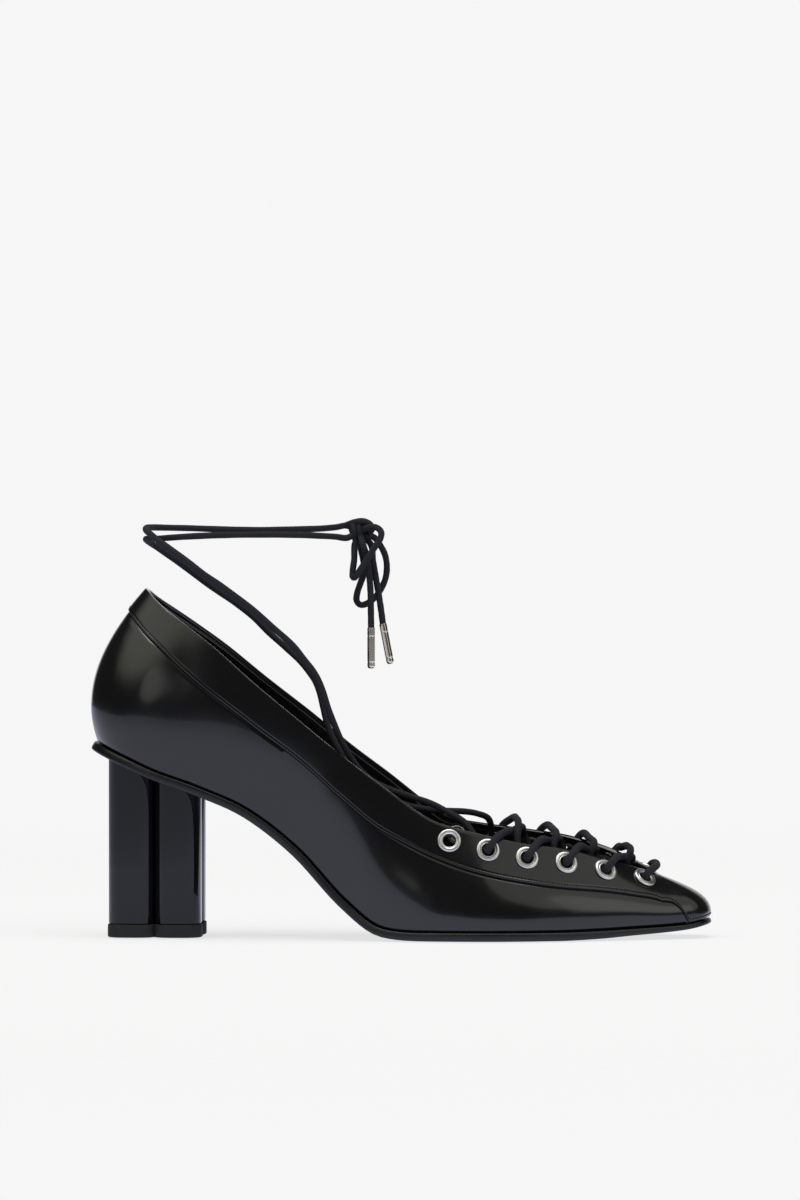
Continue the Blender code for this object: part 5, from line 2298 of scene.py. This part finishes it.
@dataclass
class Insole(PlatePiece):
    """The leather sock inside the shoe, softly padded and pressed down at its edge."""

    clearance: float = 0.0024
    thickness: float = 0.0020
    padding: float = 0.0006
    # How far inwards, and how far down from the top.
    rounding: tuple[tuple[float, float], ...] = (
        (0.0030, 0.0), (0.0012, 0.00005), (0.0004, 0.0003), (0.0, 0.0008))
    foot_inset: float = 0.0003
    foot_rise: float = 0.0002

    def edge_at(self, place: float) -> list[tuple[float, float]]:
        """Return the edge's shape at a place, rounded over the top.

        Args:
            place: The place round the shoe, which doesn't change this shape.

        Returns:
            Distances out of the foot's edge and lifts off the sole's top.
        """
        out, foot = -self.clearance, self.last.gap
        top = foot + self.thickness
        rounded = [(out - inwards, top - down) for inwards, down in self.rounding]
        return [*rounded, (out, foot + self.foot_rise), (out - self.foot_inset, foot)]

    def build(self) -> bpy.types.Object:
        """Build the insole in place of the CAD's.

        Returns:
            The finished piece.
        """
        mesh = self.plate("sock", self.edge_at, self.padding, lambda index, edge_points: 0)
        piece = add_piece("insole_sock", mesh, [INSOLE_LEATHER.material()])
        settle(piece, "insole_leather", "insole")
        return piece


@dataclass
class CloverHeel:
    """The upright pillar of four rounded lobes, and the rubber lift under it."""

    last: Last
    size: float = 0.0372
    rounding: float = 0.0072
    overlap: float = 0.0003
    lift_height: float = 0.0053
    lift_lip: float = 0.0004
    corner_steps: int = 14
    foot_bevel: float = 0.0003
    lift_bevel: float = 0.0005
    bevel_turn: float = 0.3
    pillar_levels: tuple[float, ...] = (0.030, 0.060)
    pillar_smooth_angle: float = 30.0

    def outline(self, grow: float) -> list[tuple[float, float]]:
        """Return the clover's outline, four rounded lobes with a groove between each two.

        Args:
            grow: How far the outline stands out of the pillar's.

        Returns:
            The outline's points, once round.
        """
        half = (self.size / 2 + self.overlap) / 2
        centre = self.size / 2 - half
        radius = self.rounding + grow
        near = centre - half + self.rounding
        far = centre + half - self.rounding
        groove = math.acos(near / radius)
        right = math.pi / 2
        arcs = ((near, -far, 2 * right + groove, 3 * right), (far, -far, 3 * right, 4 * right),
                (far, -near, 0.0, right - groove))
        quarter = []
        for x, y, start, end in arcs:
            for step in range(self.corner_steps + 1):
                angle = start + (end - start) * step / self.corner_steps
                quarter.append((x + radius * math.cos(angle), y + radius * math.sin(angle)))
        outline = []
        for turn in range(4):
            cosine, sine = round(math.cos(turn * right)), round(math.sin(turn * right))
            outline += [(x * cosine - y * sine, x * sine + y * cosine) for x, y in quarter[:-1]]
        return outline

    def pillar(self, name: str, levels: Sequence[tuple[float, float]],
               top_at: Callable[[float, float], float] | None) -> bpy.types.Mesh:
        """Return an upright clover-shaped block.

        Args:
            name: The mesh's name.
            levels: The growth of the outline and the height, from the bottom up.
            top_at: Gives the height of the top at a place, or nothing for a flat top.

        Returns:
            The closed mesh.
        """
        rows = [[Vector((x, y, height)) for x, y in self.outline(grow)] for grow, height in levels]
        if top_at is not None:
            rows[-1] = [Vector((x, y, top_at(x, y))) for x, y, _ in rows[-1]]
        count = len(rows[0])
        points, faces = loft(rows, False, True)
        for row, rising in ((0, False), (len(rows) - 1, True)):
            ring = rows[row]
            middle = sum(ring, Vector()) / count
            hub = len(points)
            points.append(middle)
            for index in range(count):
                here, after = row * count + index, row * count + (index + 1) % count
                faces.append((here, after, hub) if rising else (after, here, hub))
        return mesh_of(name, points, faces)

    def build(self) -> list[bpy.types.Object]:
        """Build the pillar and the lift in place of the CAD's.

        Returns:
            The pillar and the lift.
        """
        last = self.last
        bottom = self.lift_height + last.gap
        turn = self.bevel_turn * self.foot_bevel
        levels = [(-self.foot_bevel, bottom), (-turn, bottom + turn), (0.0, bottom + self.foot_bevel)]
        levels += [(0.0, height) for height in self.pillar_levels]

        def under_sole(x: float, _y: float) -> float:
            """Return the height of the pillar's top, just under the sole."""
            return last.sole_point(x, 0.0, -(last.sole_thickness + last.gap)).z

        mesh = self.pillar("pillar", levels, under_sole)
        heel = add_piece("heel_pillar", mesh, [HEEL_GLOSS.material()], self.pillar_smooth_angle)
        settle(heel, "heel_plastic", "heel")
        bevel, grow = self.lift_bevel, self.lift_lip
        turn = self.bevel_turn * bevel
        levels = [(grow - bevel, 0.0), (grow - turn, turn), (grow, bevel),
                  (grow, self.lift_height - bevel), (grow - turn, self.lift_height - turn),
                  (grow - bevel, self.lift_height)]
        lift = add_piece("heel_lift", self.pillar("lift", levels, None), [LIFT_RUBBER.material()])
        settle(lift, "lift_rubber", "top_lift")
        return [heel, lift]


# Lacing and ankle tie


class EdgeSpot(NamedTuple):
    """A point of a strand beside a top edge: share of the way on, distances out and up."""

    ahead: float
    out: float
    climb: float


class SpanSpot(NamedTuple):
    """A point of a strand over the throat: shares of the way on and across, and its lift."""

    ahead: float
    across: float
    lift: float


@dataclass
class Lacing:
    """The laced stretch: two strands that cross the throat and a bar next to the toe."""

    last: Last
    eyelets: Eyelets
    diameter: float = 0.0030
    clear_out: float = 0.0034
    clear_in: float = 0.0066
    step: float = 0.0008
    cord_sides: int = 16
    cord_smooth_angle: float = 60.0
    swelling: float = 0.03
    swelling_waves: float = 23.0
    swelling_phase: float = 0.4
    leaving: tuple[EdgeSpot, ...] = (EdgeSpot(0.20, 0.0042, -0.0010), EdgeSpot(0.40, 0.0016, 0.0025))
    under_span: tuple[SpanSpot, ...] = (SpanSpot(0.62, 0.25, 0.0048), SpanSpot(0.70, 0.50, 0.0044),
                                        SpanSpot(0.78, 0.76, 0.0034))
    over_span: tuple[SpanSpot, ...] = (SpanSpot(0.58, 0.25, 0.0072), SpanSpot(0.66, 0.50, 0.0082),
                                       SpanSpot(0.78, 0.82, 0.0080))
    row_drops: tuple[float, ...] = (0.0014, 0.0036, 0.0040, 0.0016)
    under_entry: EdgeSpot = EdgeSpot(0.84, -0.0046, 0.0)
    over_entry: EdgeSpot = EdgeSpot(0.86, -0.0044, 0.0022)
    toe_bar: tuple[tuple[float, float, float], ...] = (
        (0.12, 0.0016, 0.0010), (0.50, 0.0028, 0.0012), (0.88, 0.0016, 0.0010))

    def edge_spot(self, place: float, spot: EdgeSpot) -> Vector:
        """Return a point beside the top edge.

        Args:
            place: The place round the shoe.
            spot: Where the point lies beside the edge.

        Returns:
            The point.
        """
        last = self.last
        climb = (last.side(place, 1.0) - last.side(place, 1.0 - last.height_nudge)).normalized()
        return last.edge(place) + spot.out * last.normal(place, 1.0) + spot.climb * climb

    def span_spot(self, place: float, spot: SpanSpot) -> Vector:
        """Return a point over the throat, from one edge to its twin on the other."""
        middle = self.last.edge(place).lerp(self.last.edge(STATIONS - place), spot.across)
        return middle + spot.lift * UP

    def crossing(self, start: Seat, end: Seat, row: int, over: bool) -> list[Vector]:
        """Return a strand's points over the throat, from one row to the next on the other side.

        Args:
            start: The eyelet that the strand leaves.
            end: The eyelet that it goes to.
            row: The row of the eyelet that it leaves.
            over: Whether it lies over the other strand.

        Returns:
            The points between the two eyelets.
        """
        def ahead(share: float) -> float:
            """Return the place that lies a share of the way to the next row."""
            return start.place + (STATIONS - end.place - start.place) * share

        span = self.over_span if over else self.under_span
        entry = self.over_entry if over else self.under_entry
        drop = self.row_drops[row - 1] * UP
        points = [self.edge_spot(ahead(spot.ahead), spot) for spot in self.leaving]
        points += [self.span_spot(ahead(spot.ahead), spot) - drop for spot in span]
        return points + [self.edge_spot(STATIONS - ahead(entry.ahead), entry)]

    def outside(self, seat: Seat) -> Vector:
        """Return the point where a lace clears the eyelet's rim on the outside."""
        return seat.centre + self.clear_out * seat.normal

    def inside(self, seat: Seat) -> Vector:
        """Return the point where a lace turns behind the eyelet."""
        return seat.centre - self.clear_in * seat.normal

    def barrel(self, seat: Seat) -> Vector:
        """Return the middle of the eyelet's barrel."""
        return seat.centre - (self.last.wall + self.last.overlay_step) / 2 * seat.normal

    def strand(self, sides: Sequence[Sequence[Seat]], side: int) -> list[Vector]:
        """Return one strand's points, from behind its second eyelet up to the toe's row.

        Args:
            sides: The seats of the outer and the inner side.
            side: The side where the strand starts, 0 for the outer one.

        Returns:
            The strand's points.
        """
        points = [self.inside(sides[side][1]), self.barrel(sides[side][1])]
        for row in range(1, self.eyelets.count - 1):
            start, end = sides[side][row], sides[1 - side][row + 1]
            points.append(self.outside(start))
            points += self.crossing(start, end, row, side == 1)
            points += [self.inside(end), self.barrel(end)]
            side = 1 - side
        return points + [self.outside(sides[side][-1])]

    def route(self) -> list[Vector]:
        """Return the whole laced stretch's own points.

        Returns:
            The points, from one second eyelet to the other.
        """
        sides = (self.eyelets.seats(Side.OUTER), self.eyelets.seats(Side.INNER))
        first, second = self.strand(sides, 0), self.strand(sides, 1)
        bar = [first[-1].lerp(second[-1], across) + Vector((forward, 0.0, lift))
               for across, forward, lift in self.toe_bar]
        return first + bar + second[::-1]

    def build(self) -> bpy.types.Object:
        """Build the lacing in place of the CAD's.

        Returns:
            The finished piece.
        """
        route = smooth_route(self.route(), self.step)
        thickness = unevenness(self.swelling, self.swelling_waves, self.swelling_phase)
        sweep = CordSweep(route, self.diameter, self.cord_sides, thickness)
        piece = add_piece("laced_cord", sweep.mesh("laced_cord"), [cord_material()],
                          self.cord_smooth_angle)
        settle(piece, "lace_cord", "lacing")
        return piece


def cord_material() -> bpy.types.Material:
    """Return the lace's material, made once."""
    return bpy.data.materials.get(LACE_CORD.name) or LACE_CORD.material()


@dataclass
class AnkleTie:
    """The two ties round the ankle, their bow and the metal tubes on the lace's ends."""

    lacing: Lacing
    diameter: float = 0.0026
    knot_place: Point = (0.0819, 0.0, 0.1631)
    knot_width: float = 0.0086
    knot_height: float = 0.0090
    step: float = 0.0009
    wrap_offset: float = -0.0010
    wrap_depth: float = 0.0028
    wrap_height: float = 0.0032
    wrap_pitch: float = 0.0024
    wrap_turns: int = 2
    knot_steps: int = 96
    knot_step: float = 0.0006
    trefoil_ahead: float = 0.0012
    trefoil_depth: float = 0.62
    trefoil_rise: float = 1.05
    cord_sides: int = 14
    cord_smooth_angle: float = 60.0
    swelling: float = 0.035
    swelling_waves: float = 9.0
    swelling_phase_step: float = 1.3
    aglet_sides: int = 28
    arch: tuple[Point, ...] = (
        (0.0758, 0.0015, 0.1654), (0.0779, 0.0000, 0.1662), (0.0800, -0.0015, 0.1669),
        (0.0834, -0.0025, 0.1673), (0.0860, -0.0035, 0.1663), (0.0872, -0.0040, 0.1646),
        (0.0862, -0.0020, 0.1628),
    )
    outer_tie: tuple[Point, ...] = (
        (0.1256, -0.0175, 0.0463), (0.1183, -0.0155, 0.0508), (0.1110, -0.0145, 0.0544),
        (0.1029, -0.0140, 0.0570), (0.0953, -0.0145, 0.0596), (0.0885, -0.0150, 0.0628),
        (0.0830, -0.0160, 0.0677), (0.0787, -0.0175, 0.0738), (0.0752, -0.0190, 0.0806),
        (0.0723, -0.0205, 0.0879), (0.0704, -0.0215, 0.0933), (0.0688, -0.0225, 0.0988),
        (0.0671, -0.0235, 0.1034), (0.0647, -0.0245, 0.1077), (0.0616, -0.0255, 0.1117),
        (0.0569, -0.0265, 0.1177), (0.0478, -0.0275, 0.1260), (0.0411, -0.0280, 0.1320),
        (0.0345, -0.0283, 0.1370), (0.0278, -0.0280, 0.1419), (0.0219, -0.0275, 0.1458),
        (0.0144, -0.0255, 0.1514), (0.0088, -0.0225, 0.1552), (0.0023, -0.0170, 0.1594),
        (-0.0015, -0.0115, 0.1620), (-0.0041, -0.0040, 0.1635), (-0.0047, 0.0040, 0.1644),
        (-0.0030, 0.0125, 0.1645), (0.0016, 0.0195, 0.1643), (0.0112, 0.0260, 0.1640),
        (0.0240, 0.0285, 0.1635), (0.0375, 0.0270, 0.1633), (0.0521, 0.0215, 0.1636),
        (0.0640, 0.0145, 0.1640), (0.0717, 0.0080, 0.1647), (0.0765, 0.0035, 0.1654),
    )
    inner_tie: tuple[Point, ...] = (
        (0.1330, 0.0175, 0.0466), (0.1287, 0.0145, 0.0488), (0.1236, 0.0115, 0.0498),
        (0.1185, 0.0090, 0.0501), (0.1129, 0.0075, 0.0504), (0.1061, 0.0065, 0.0512),
        (0.0993, 0.0065, 0.0528), (0.0928, 0.0075, 0.0562), (0.0854, 0.0090, 0.0610),
        (0.0788, 0.0105, 0.0670), (0.0739, 0.0120, 0.0730), (0.0703, 0.0135, 0.0786),
        (0.0672, 0.0155, 0.0866), (0.0659, 0.0170, 0.0919), (0.0645, 0.0185, 0.0973),
        (0.0626, 0.0200, 0.1020), (0.0598, 0.0215, 0.1060), (0.0563, 0.0230, 0.1100),
        (0.0505, 0.0250, 0.1153), (0.0437, 0.0265, 0.1212), (0.0368, 0.0275, 0.1279),
        (0.0300, 0.0280, 0.1332), (0.0232, 0.0280, 0.1378), (0.0174, 0.0270, 0.1419),
        (0.0101, 0.0245, 0.1476), (0.0050, 0.0210, 0.1515), (-0.0005, 0.0150, 0.1558),
        (-0.0036, 0.0080, 0.1584), (-0.0046, 0.0005, 0.1599), (-0.0028, -0.0050, 0.1601),
        (0.0010, -0.0100, 0.1603), (0.0068, -0.0165, 0.1608), (0.0153, -0.0220, 0.1614),
        (0.0286, -0.0275, 0.1620), (0.0418, -0.0280, 0.1622), (0.0554, -0.0220, 0.1621),
        (0.0660, -0.0145, 0.1616), (0.0728, -0.0080, 0.1611), (0.0770, -0.0045, 0.1606),
    )
    loop_one: tuple[Point, ...] = (
        (0.0855, -0.0050, 0.1647), (0.0888, -0.0062, 0.1649), (0.0910, -0.0074, 0.1631),
        (0.0908, -0.0082, 0.1605), (0.0886, -0.0090, 0.1570), (0.0853, -0.0094, 0.1518),
        (0.0823, -0.0092, 0.1472), (0.0804, -0.0082, 0.1447), (0.0795, -0.0068, 0.1451),
        (0.0795, -0.0060, 0.1477), (0.0800, -0.0054, 0.1515), (0.0800, -0.0040, 0.1551),
        (0.0800, -0.0026, 0.1579),
    )
    loop_two: tuple[Point, ...] = (
        (0.0878, 0.0026, 0.1605), (0.0900, 0.0038, 0.1574), (0.0917, 0.0048, 0.1539),
        (0.0925, 0.0054, 0.1495), (0.0921, 0.0058, 0.1448), (0.0906, 0.0060, 0.1408),
        (0.0880, 0.0058, 0.1368), (0.0846, 0.0054, 0.1340), (0.0819, 0.0050, 0.1334),
        (0.0804, 0.0044, 0.1350), (0.0806, 0.0038, 0.1381), (0.0821, 0.0030, 0.1425),
        (0.0836, 0.0024, 0.1470), (0.0832, 0.0022, 0.1516), (0.0822, 0.0026, 0.1560),
    )
    end_one: tuple[Point, ...] = (
        (0.0838, -0.0070, 0.1576), (0.0852, -0.0060, 0.1530), (0.0862, -0.0062, 0.1453),
        (0.0867, -0.0062, 0.1381), (0.0868, -0.0060, 0.1308), (0.0869, -0.0060, 0.1238),
    )
    end_two: tuple[Point, ...] = (
        (0.0867, -0.0016, 0.1575), (0.0874, -0.0030, 0.1517), (0.0887, -0.0030, 0.1440),
        (0.0899, -0.0028, 0.1368), (0.0908, -0.0026, 0.1307), (0.0915, -0.0026, 0.1253),
    )
    end_one_aim: Point = (0.0, 0.0, -1.0)
    end_two_aim: Point = (0.19, 0.0, -0.98)
    aglet_profile: tuple[tuple[float, float], ...] = (
        (0.00, 0.00), (1.40, 0.00), (1.40, -0.86), (1.48, -0.95), (1.55, -0.84), (1.55, -0.68),
        (1.55, 2.06), (1.55, 2.20), (1.46, 2.32), (1.46, 2.52), (1.55, 2.64), (1.55, 2.80),
        (1.55, 12.44), (1.55, 12.60), (1.44, 12.80), (1.42, 13.10), (1.54, 13.34), (1.54, 13.50),
        (1.54, 14.24), (1.54, 14.40), (1.40, 14.95), (1.05, 15.35), (0.55, 15.48), (0.00, 15.50),
    )

    def knot_spot(self, place: Point) -> Vector:
        """Return the point just off the knot's surface that faces a place.

        Args:
            place: The place that the point faces.

        Returns:
            The point.
        """
        centre = Vector(self.knot_place)
        aim = (Vector(place) - centre).normalized()
        wide = 2 * math.hypot(aim.x, aim.y) / self.knot_width
        high = 2 * aim.z / self.knot_height
        return centre + (1 / math.hypot(wide, high) + self.lacing.last.gap) * aim

    def into_knot(self, place: Point, depth: float = 0.0022) -> Vector:
        """Return a point inside the knot, so that a strand's end is hidden in its wraps."""
        spot = self.knot_spot(place)
        return spot + depth * (Vector(self.knot_place) - spot).normalized()

    def tie_route(self, seat: Seat, places: Sequence[Point]) -> list[Vector]:
        """Return a tie's points, from beside the lacing's end to the knot.

        Args:
            seat: The seat of the tie's eyelet.
            places: The tie's own points.

        Returns:
            The tie's points.
        """
        start = self.lacing.inside(seat)
        aim = (Vector(places[0]) - start).normalized()
        first = start + (self.lacing.diameter / 2 + self.lacing.last.gap) * aim
        return [first, *map(Vector, places), self.into_knot(places[-1])]

    def end_route(self, places: Sequence[Point]) -> list[Vector]:
        """Return a loose end's points, from inside the knot to its metal tube."""
        return [self.into_knot(places[0]), *map(Vector, places)]

    def loop_route(self, places: Sequence[Point]) -> list[Vector]:
        """Return a bow loop's points, out of the knot and back into it."""
        return [*self.end_route(places), self.into_knot(places[-1])]

    def strand(self, name: str, points: Sequence[Vector],
               phase: float) -> tuple[bpy.types.Object, list[Vector]]:
        """Return a plaited strand and the route that it follows.

        Args:
            name: The piece's name.
            points: The strand's own points.
            phase: Where the waves of its thickness start.

        Returns:
            The piece and its evenly spaced route.
        """
        route = smooth_route(points, self.step)
        thickness = unevenness(self.swelling, self.swelling_waves, phase)
        sweep = CordSweep(route, self.diameter, self.cord_sides, thickness)
        piece = add_piece(name, sweep.mesh(name), [cord_material()], self.cord_smooth_angle)
        return piece, route

    def knot(self) -> bpy.types.Object:
        """Return the knot: a tight trefoil, two wraps round the ties and a strand over the top.

        Returns:
            The finished piece.
        """
        centre = Vector(self.knot_place)
        reach = (self.knot_width - self.diameter) / 2
        trefoil = []
        steps = self.knot_steps
        for step in range(steps + 1):
            turn = 2 * math.pi * step / steps
            wide = reach * (2 + math.cos(3 * turn)) / 3
            trefoil.append(centre + Vector((self.trefoil_ahead + wide * math.cos(2 * turn),
                                            self.trefoil_depth * reach * math.sin(3 * turn),
                                            self.trefoil_rise * wide * math.sin(2 * turn))))
        wrap = [centre]
        for step in range(steps + 1):
            share = step / steps
            turn = 2 * math.pi * self.wrap_turns * share
            along = self.wrap_offset + self.wrap_pitch * (share - 0.5) * self.wrap_turns
            wrap.append(centre + Vector((along, self.wrap_depth * math.cos(turn),
                                         self.wrap_height * math.sin(turn))))
        wrap.append(centre)
        loops = [even_spacing(trefoil, self.knot_step), even_spacing(wrap, self.knot_step),
                 smooth_route(self.arch, self.knot_step)]
        work = bmesh.new()
        for index, loop in enumerate(loops):
            work.from_mesh(CordSweep(loop, self.diameter, self.cord_sides).mesh(f"knot_{index}"))
        mesh = bpy.data.meshes.new("bow_knot_cord")
        work.to_mesh(mesh)
        work.free()
        return add_piece("bow_knot_cord", mesh, [cord_material()], self.cord_smooth_angle)

    def aglet(self, name: str, end: Point, aim: Point, material: bpy.types.Material) -> bpy.types.Object:
        """Return the metal tube on a lace's end.

        Args:
            name: The piece's name.
            end: The end of the lace.
            aim: The direction in which the tube points.
            material: The tube's material.

        Returns:
            The finished piece.
        """
        axis = Vector(aim).normalized()
        start = Vector(end) + self.lacing.last.gap * axis
        profile = [(radius * MM, height * MM) for radius, height in self.aglet_profile]
        mesh = turned(name, profile, self.aglet_sides, False)
        mesh.transform(frame_at(start, axis))
        return add_piece(name, mesh, [material])

    def build(self) -> None:
        outer = self.lacing.eyelets.seats(Side.OUTER)[1]
        inner = self.lacing.eyelets.seats(Side.INNER)[1]
        metal = AGLET_METAL.material()
        knot = self.knot()
        settle(knot, "lace_cord", "bow_knot")
        tips = {}
        for number, end, aim in ((1, self.end_one, self.end_one_aim), (2, self.end_two, self.end_two_aim)):
            tip = self.aglet(f"lace_tip_{number}", end[-1], aim, metal)
            settle(tip, "aglet_metal", f"aglet_{number}")
            tips[number] = tip
        strands = (
            ("outer_ankle_tie", "tie_outer", self.tie_route(outer, self.outer_tie), "knot", "taut",
             [knot]),
            ("inner_ankle_tie", "tie_inner", self.tie_route(inner, self.inner_tie), "knot", "taut", []),
            ("front_bow_loop", "bow_loop_1", self.loop_route(self.loop_one), "knot", "hanging", []),
            ("back_bow_loop", "bow_loop_2", self.loop_route(self.loop_two), "knot", "hanging", []),
            ("front_lace_end", "lace_end_1", self.end_route(self.end_one), "fitting", "hanging",
             [tips[1]]),
            ("back_lace_end", "lace_end_2", self.end_route(self.end_two), "fitting", "hanging",
             [tips[2]]),
        )
        for index, (name, node, points, far_end, lay, with_pieces) in enumerate(strands):
            piece, route = self.strand(name, points, self.swelling_phase_step * index)
            settle(piece, "lace_cord", node)
            length = route_length(route)
            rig.cord(piece, exit=tuple(route[0]), length=length, diameter=self.diameter, far_end=far_end,
                    stiffness="limp", lay=lay,
                    path=[tuple(spot) for spot in route[::4]] + [tuple(route[-1])],
                    with_pieces=with_pieces)
            log.info("%s: %.0f mm of cord", name, length / MM)


def write_sizes(path: str) -> None:
    """Write the CAD box and the visual model's box, to compare them.

    Args:
        path: The file to write.
    """
    def plain(box: Iterable[Iterable[float]]) -> list[list[float]]:
        """Return a box's corners as plain numbers."""
        return [[float(value) for value in corner] for corner in box]

    with open(path, "w", encoding="utf-8") as out:
        json.dump({"cad": plain(CAD_BOX), "visual": plain(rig.bounds())}, out)


def main() -> None:
    """Build the studio and every piece of the shoe, cords first."""
    logging.basicConfig(level=logging.INFO, format="%(name)s: %(message)s")
    Studio().build()
    last = Last()
    eyelets = Eyelets(last)
    lacing = Lacing(last, eyelets)
    AnkleTie(lacing).build()
    lacing.build()
    eyelets.build()
    upper = Upper(last, eyelets)
    upper.build()
    stitching = Stitching()
    stitching.build("overlay_stitches", *upper.overlay_stitches(), True, "upper_leather")
    stitching.build("collar_lining_stitches", *upper.lining_stitches(), True, "upper_leather")
    Insole(last).build()
    Outsole(last).build()
    CloverHeel(last).build()
    write_sizes("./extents.json")


if __name__ == "__main__":
    main()
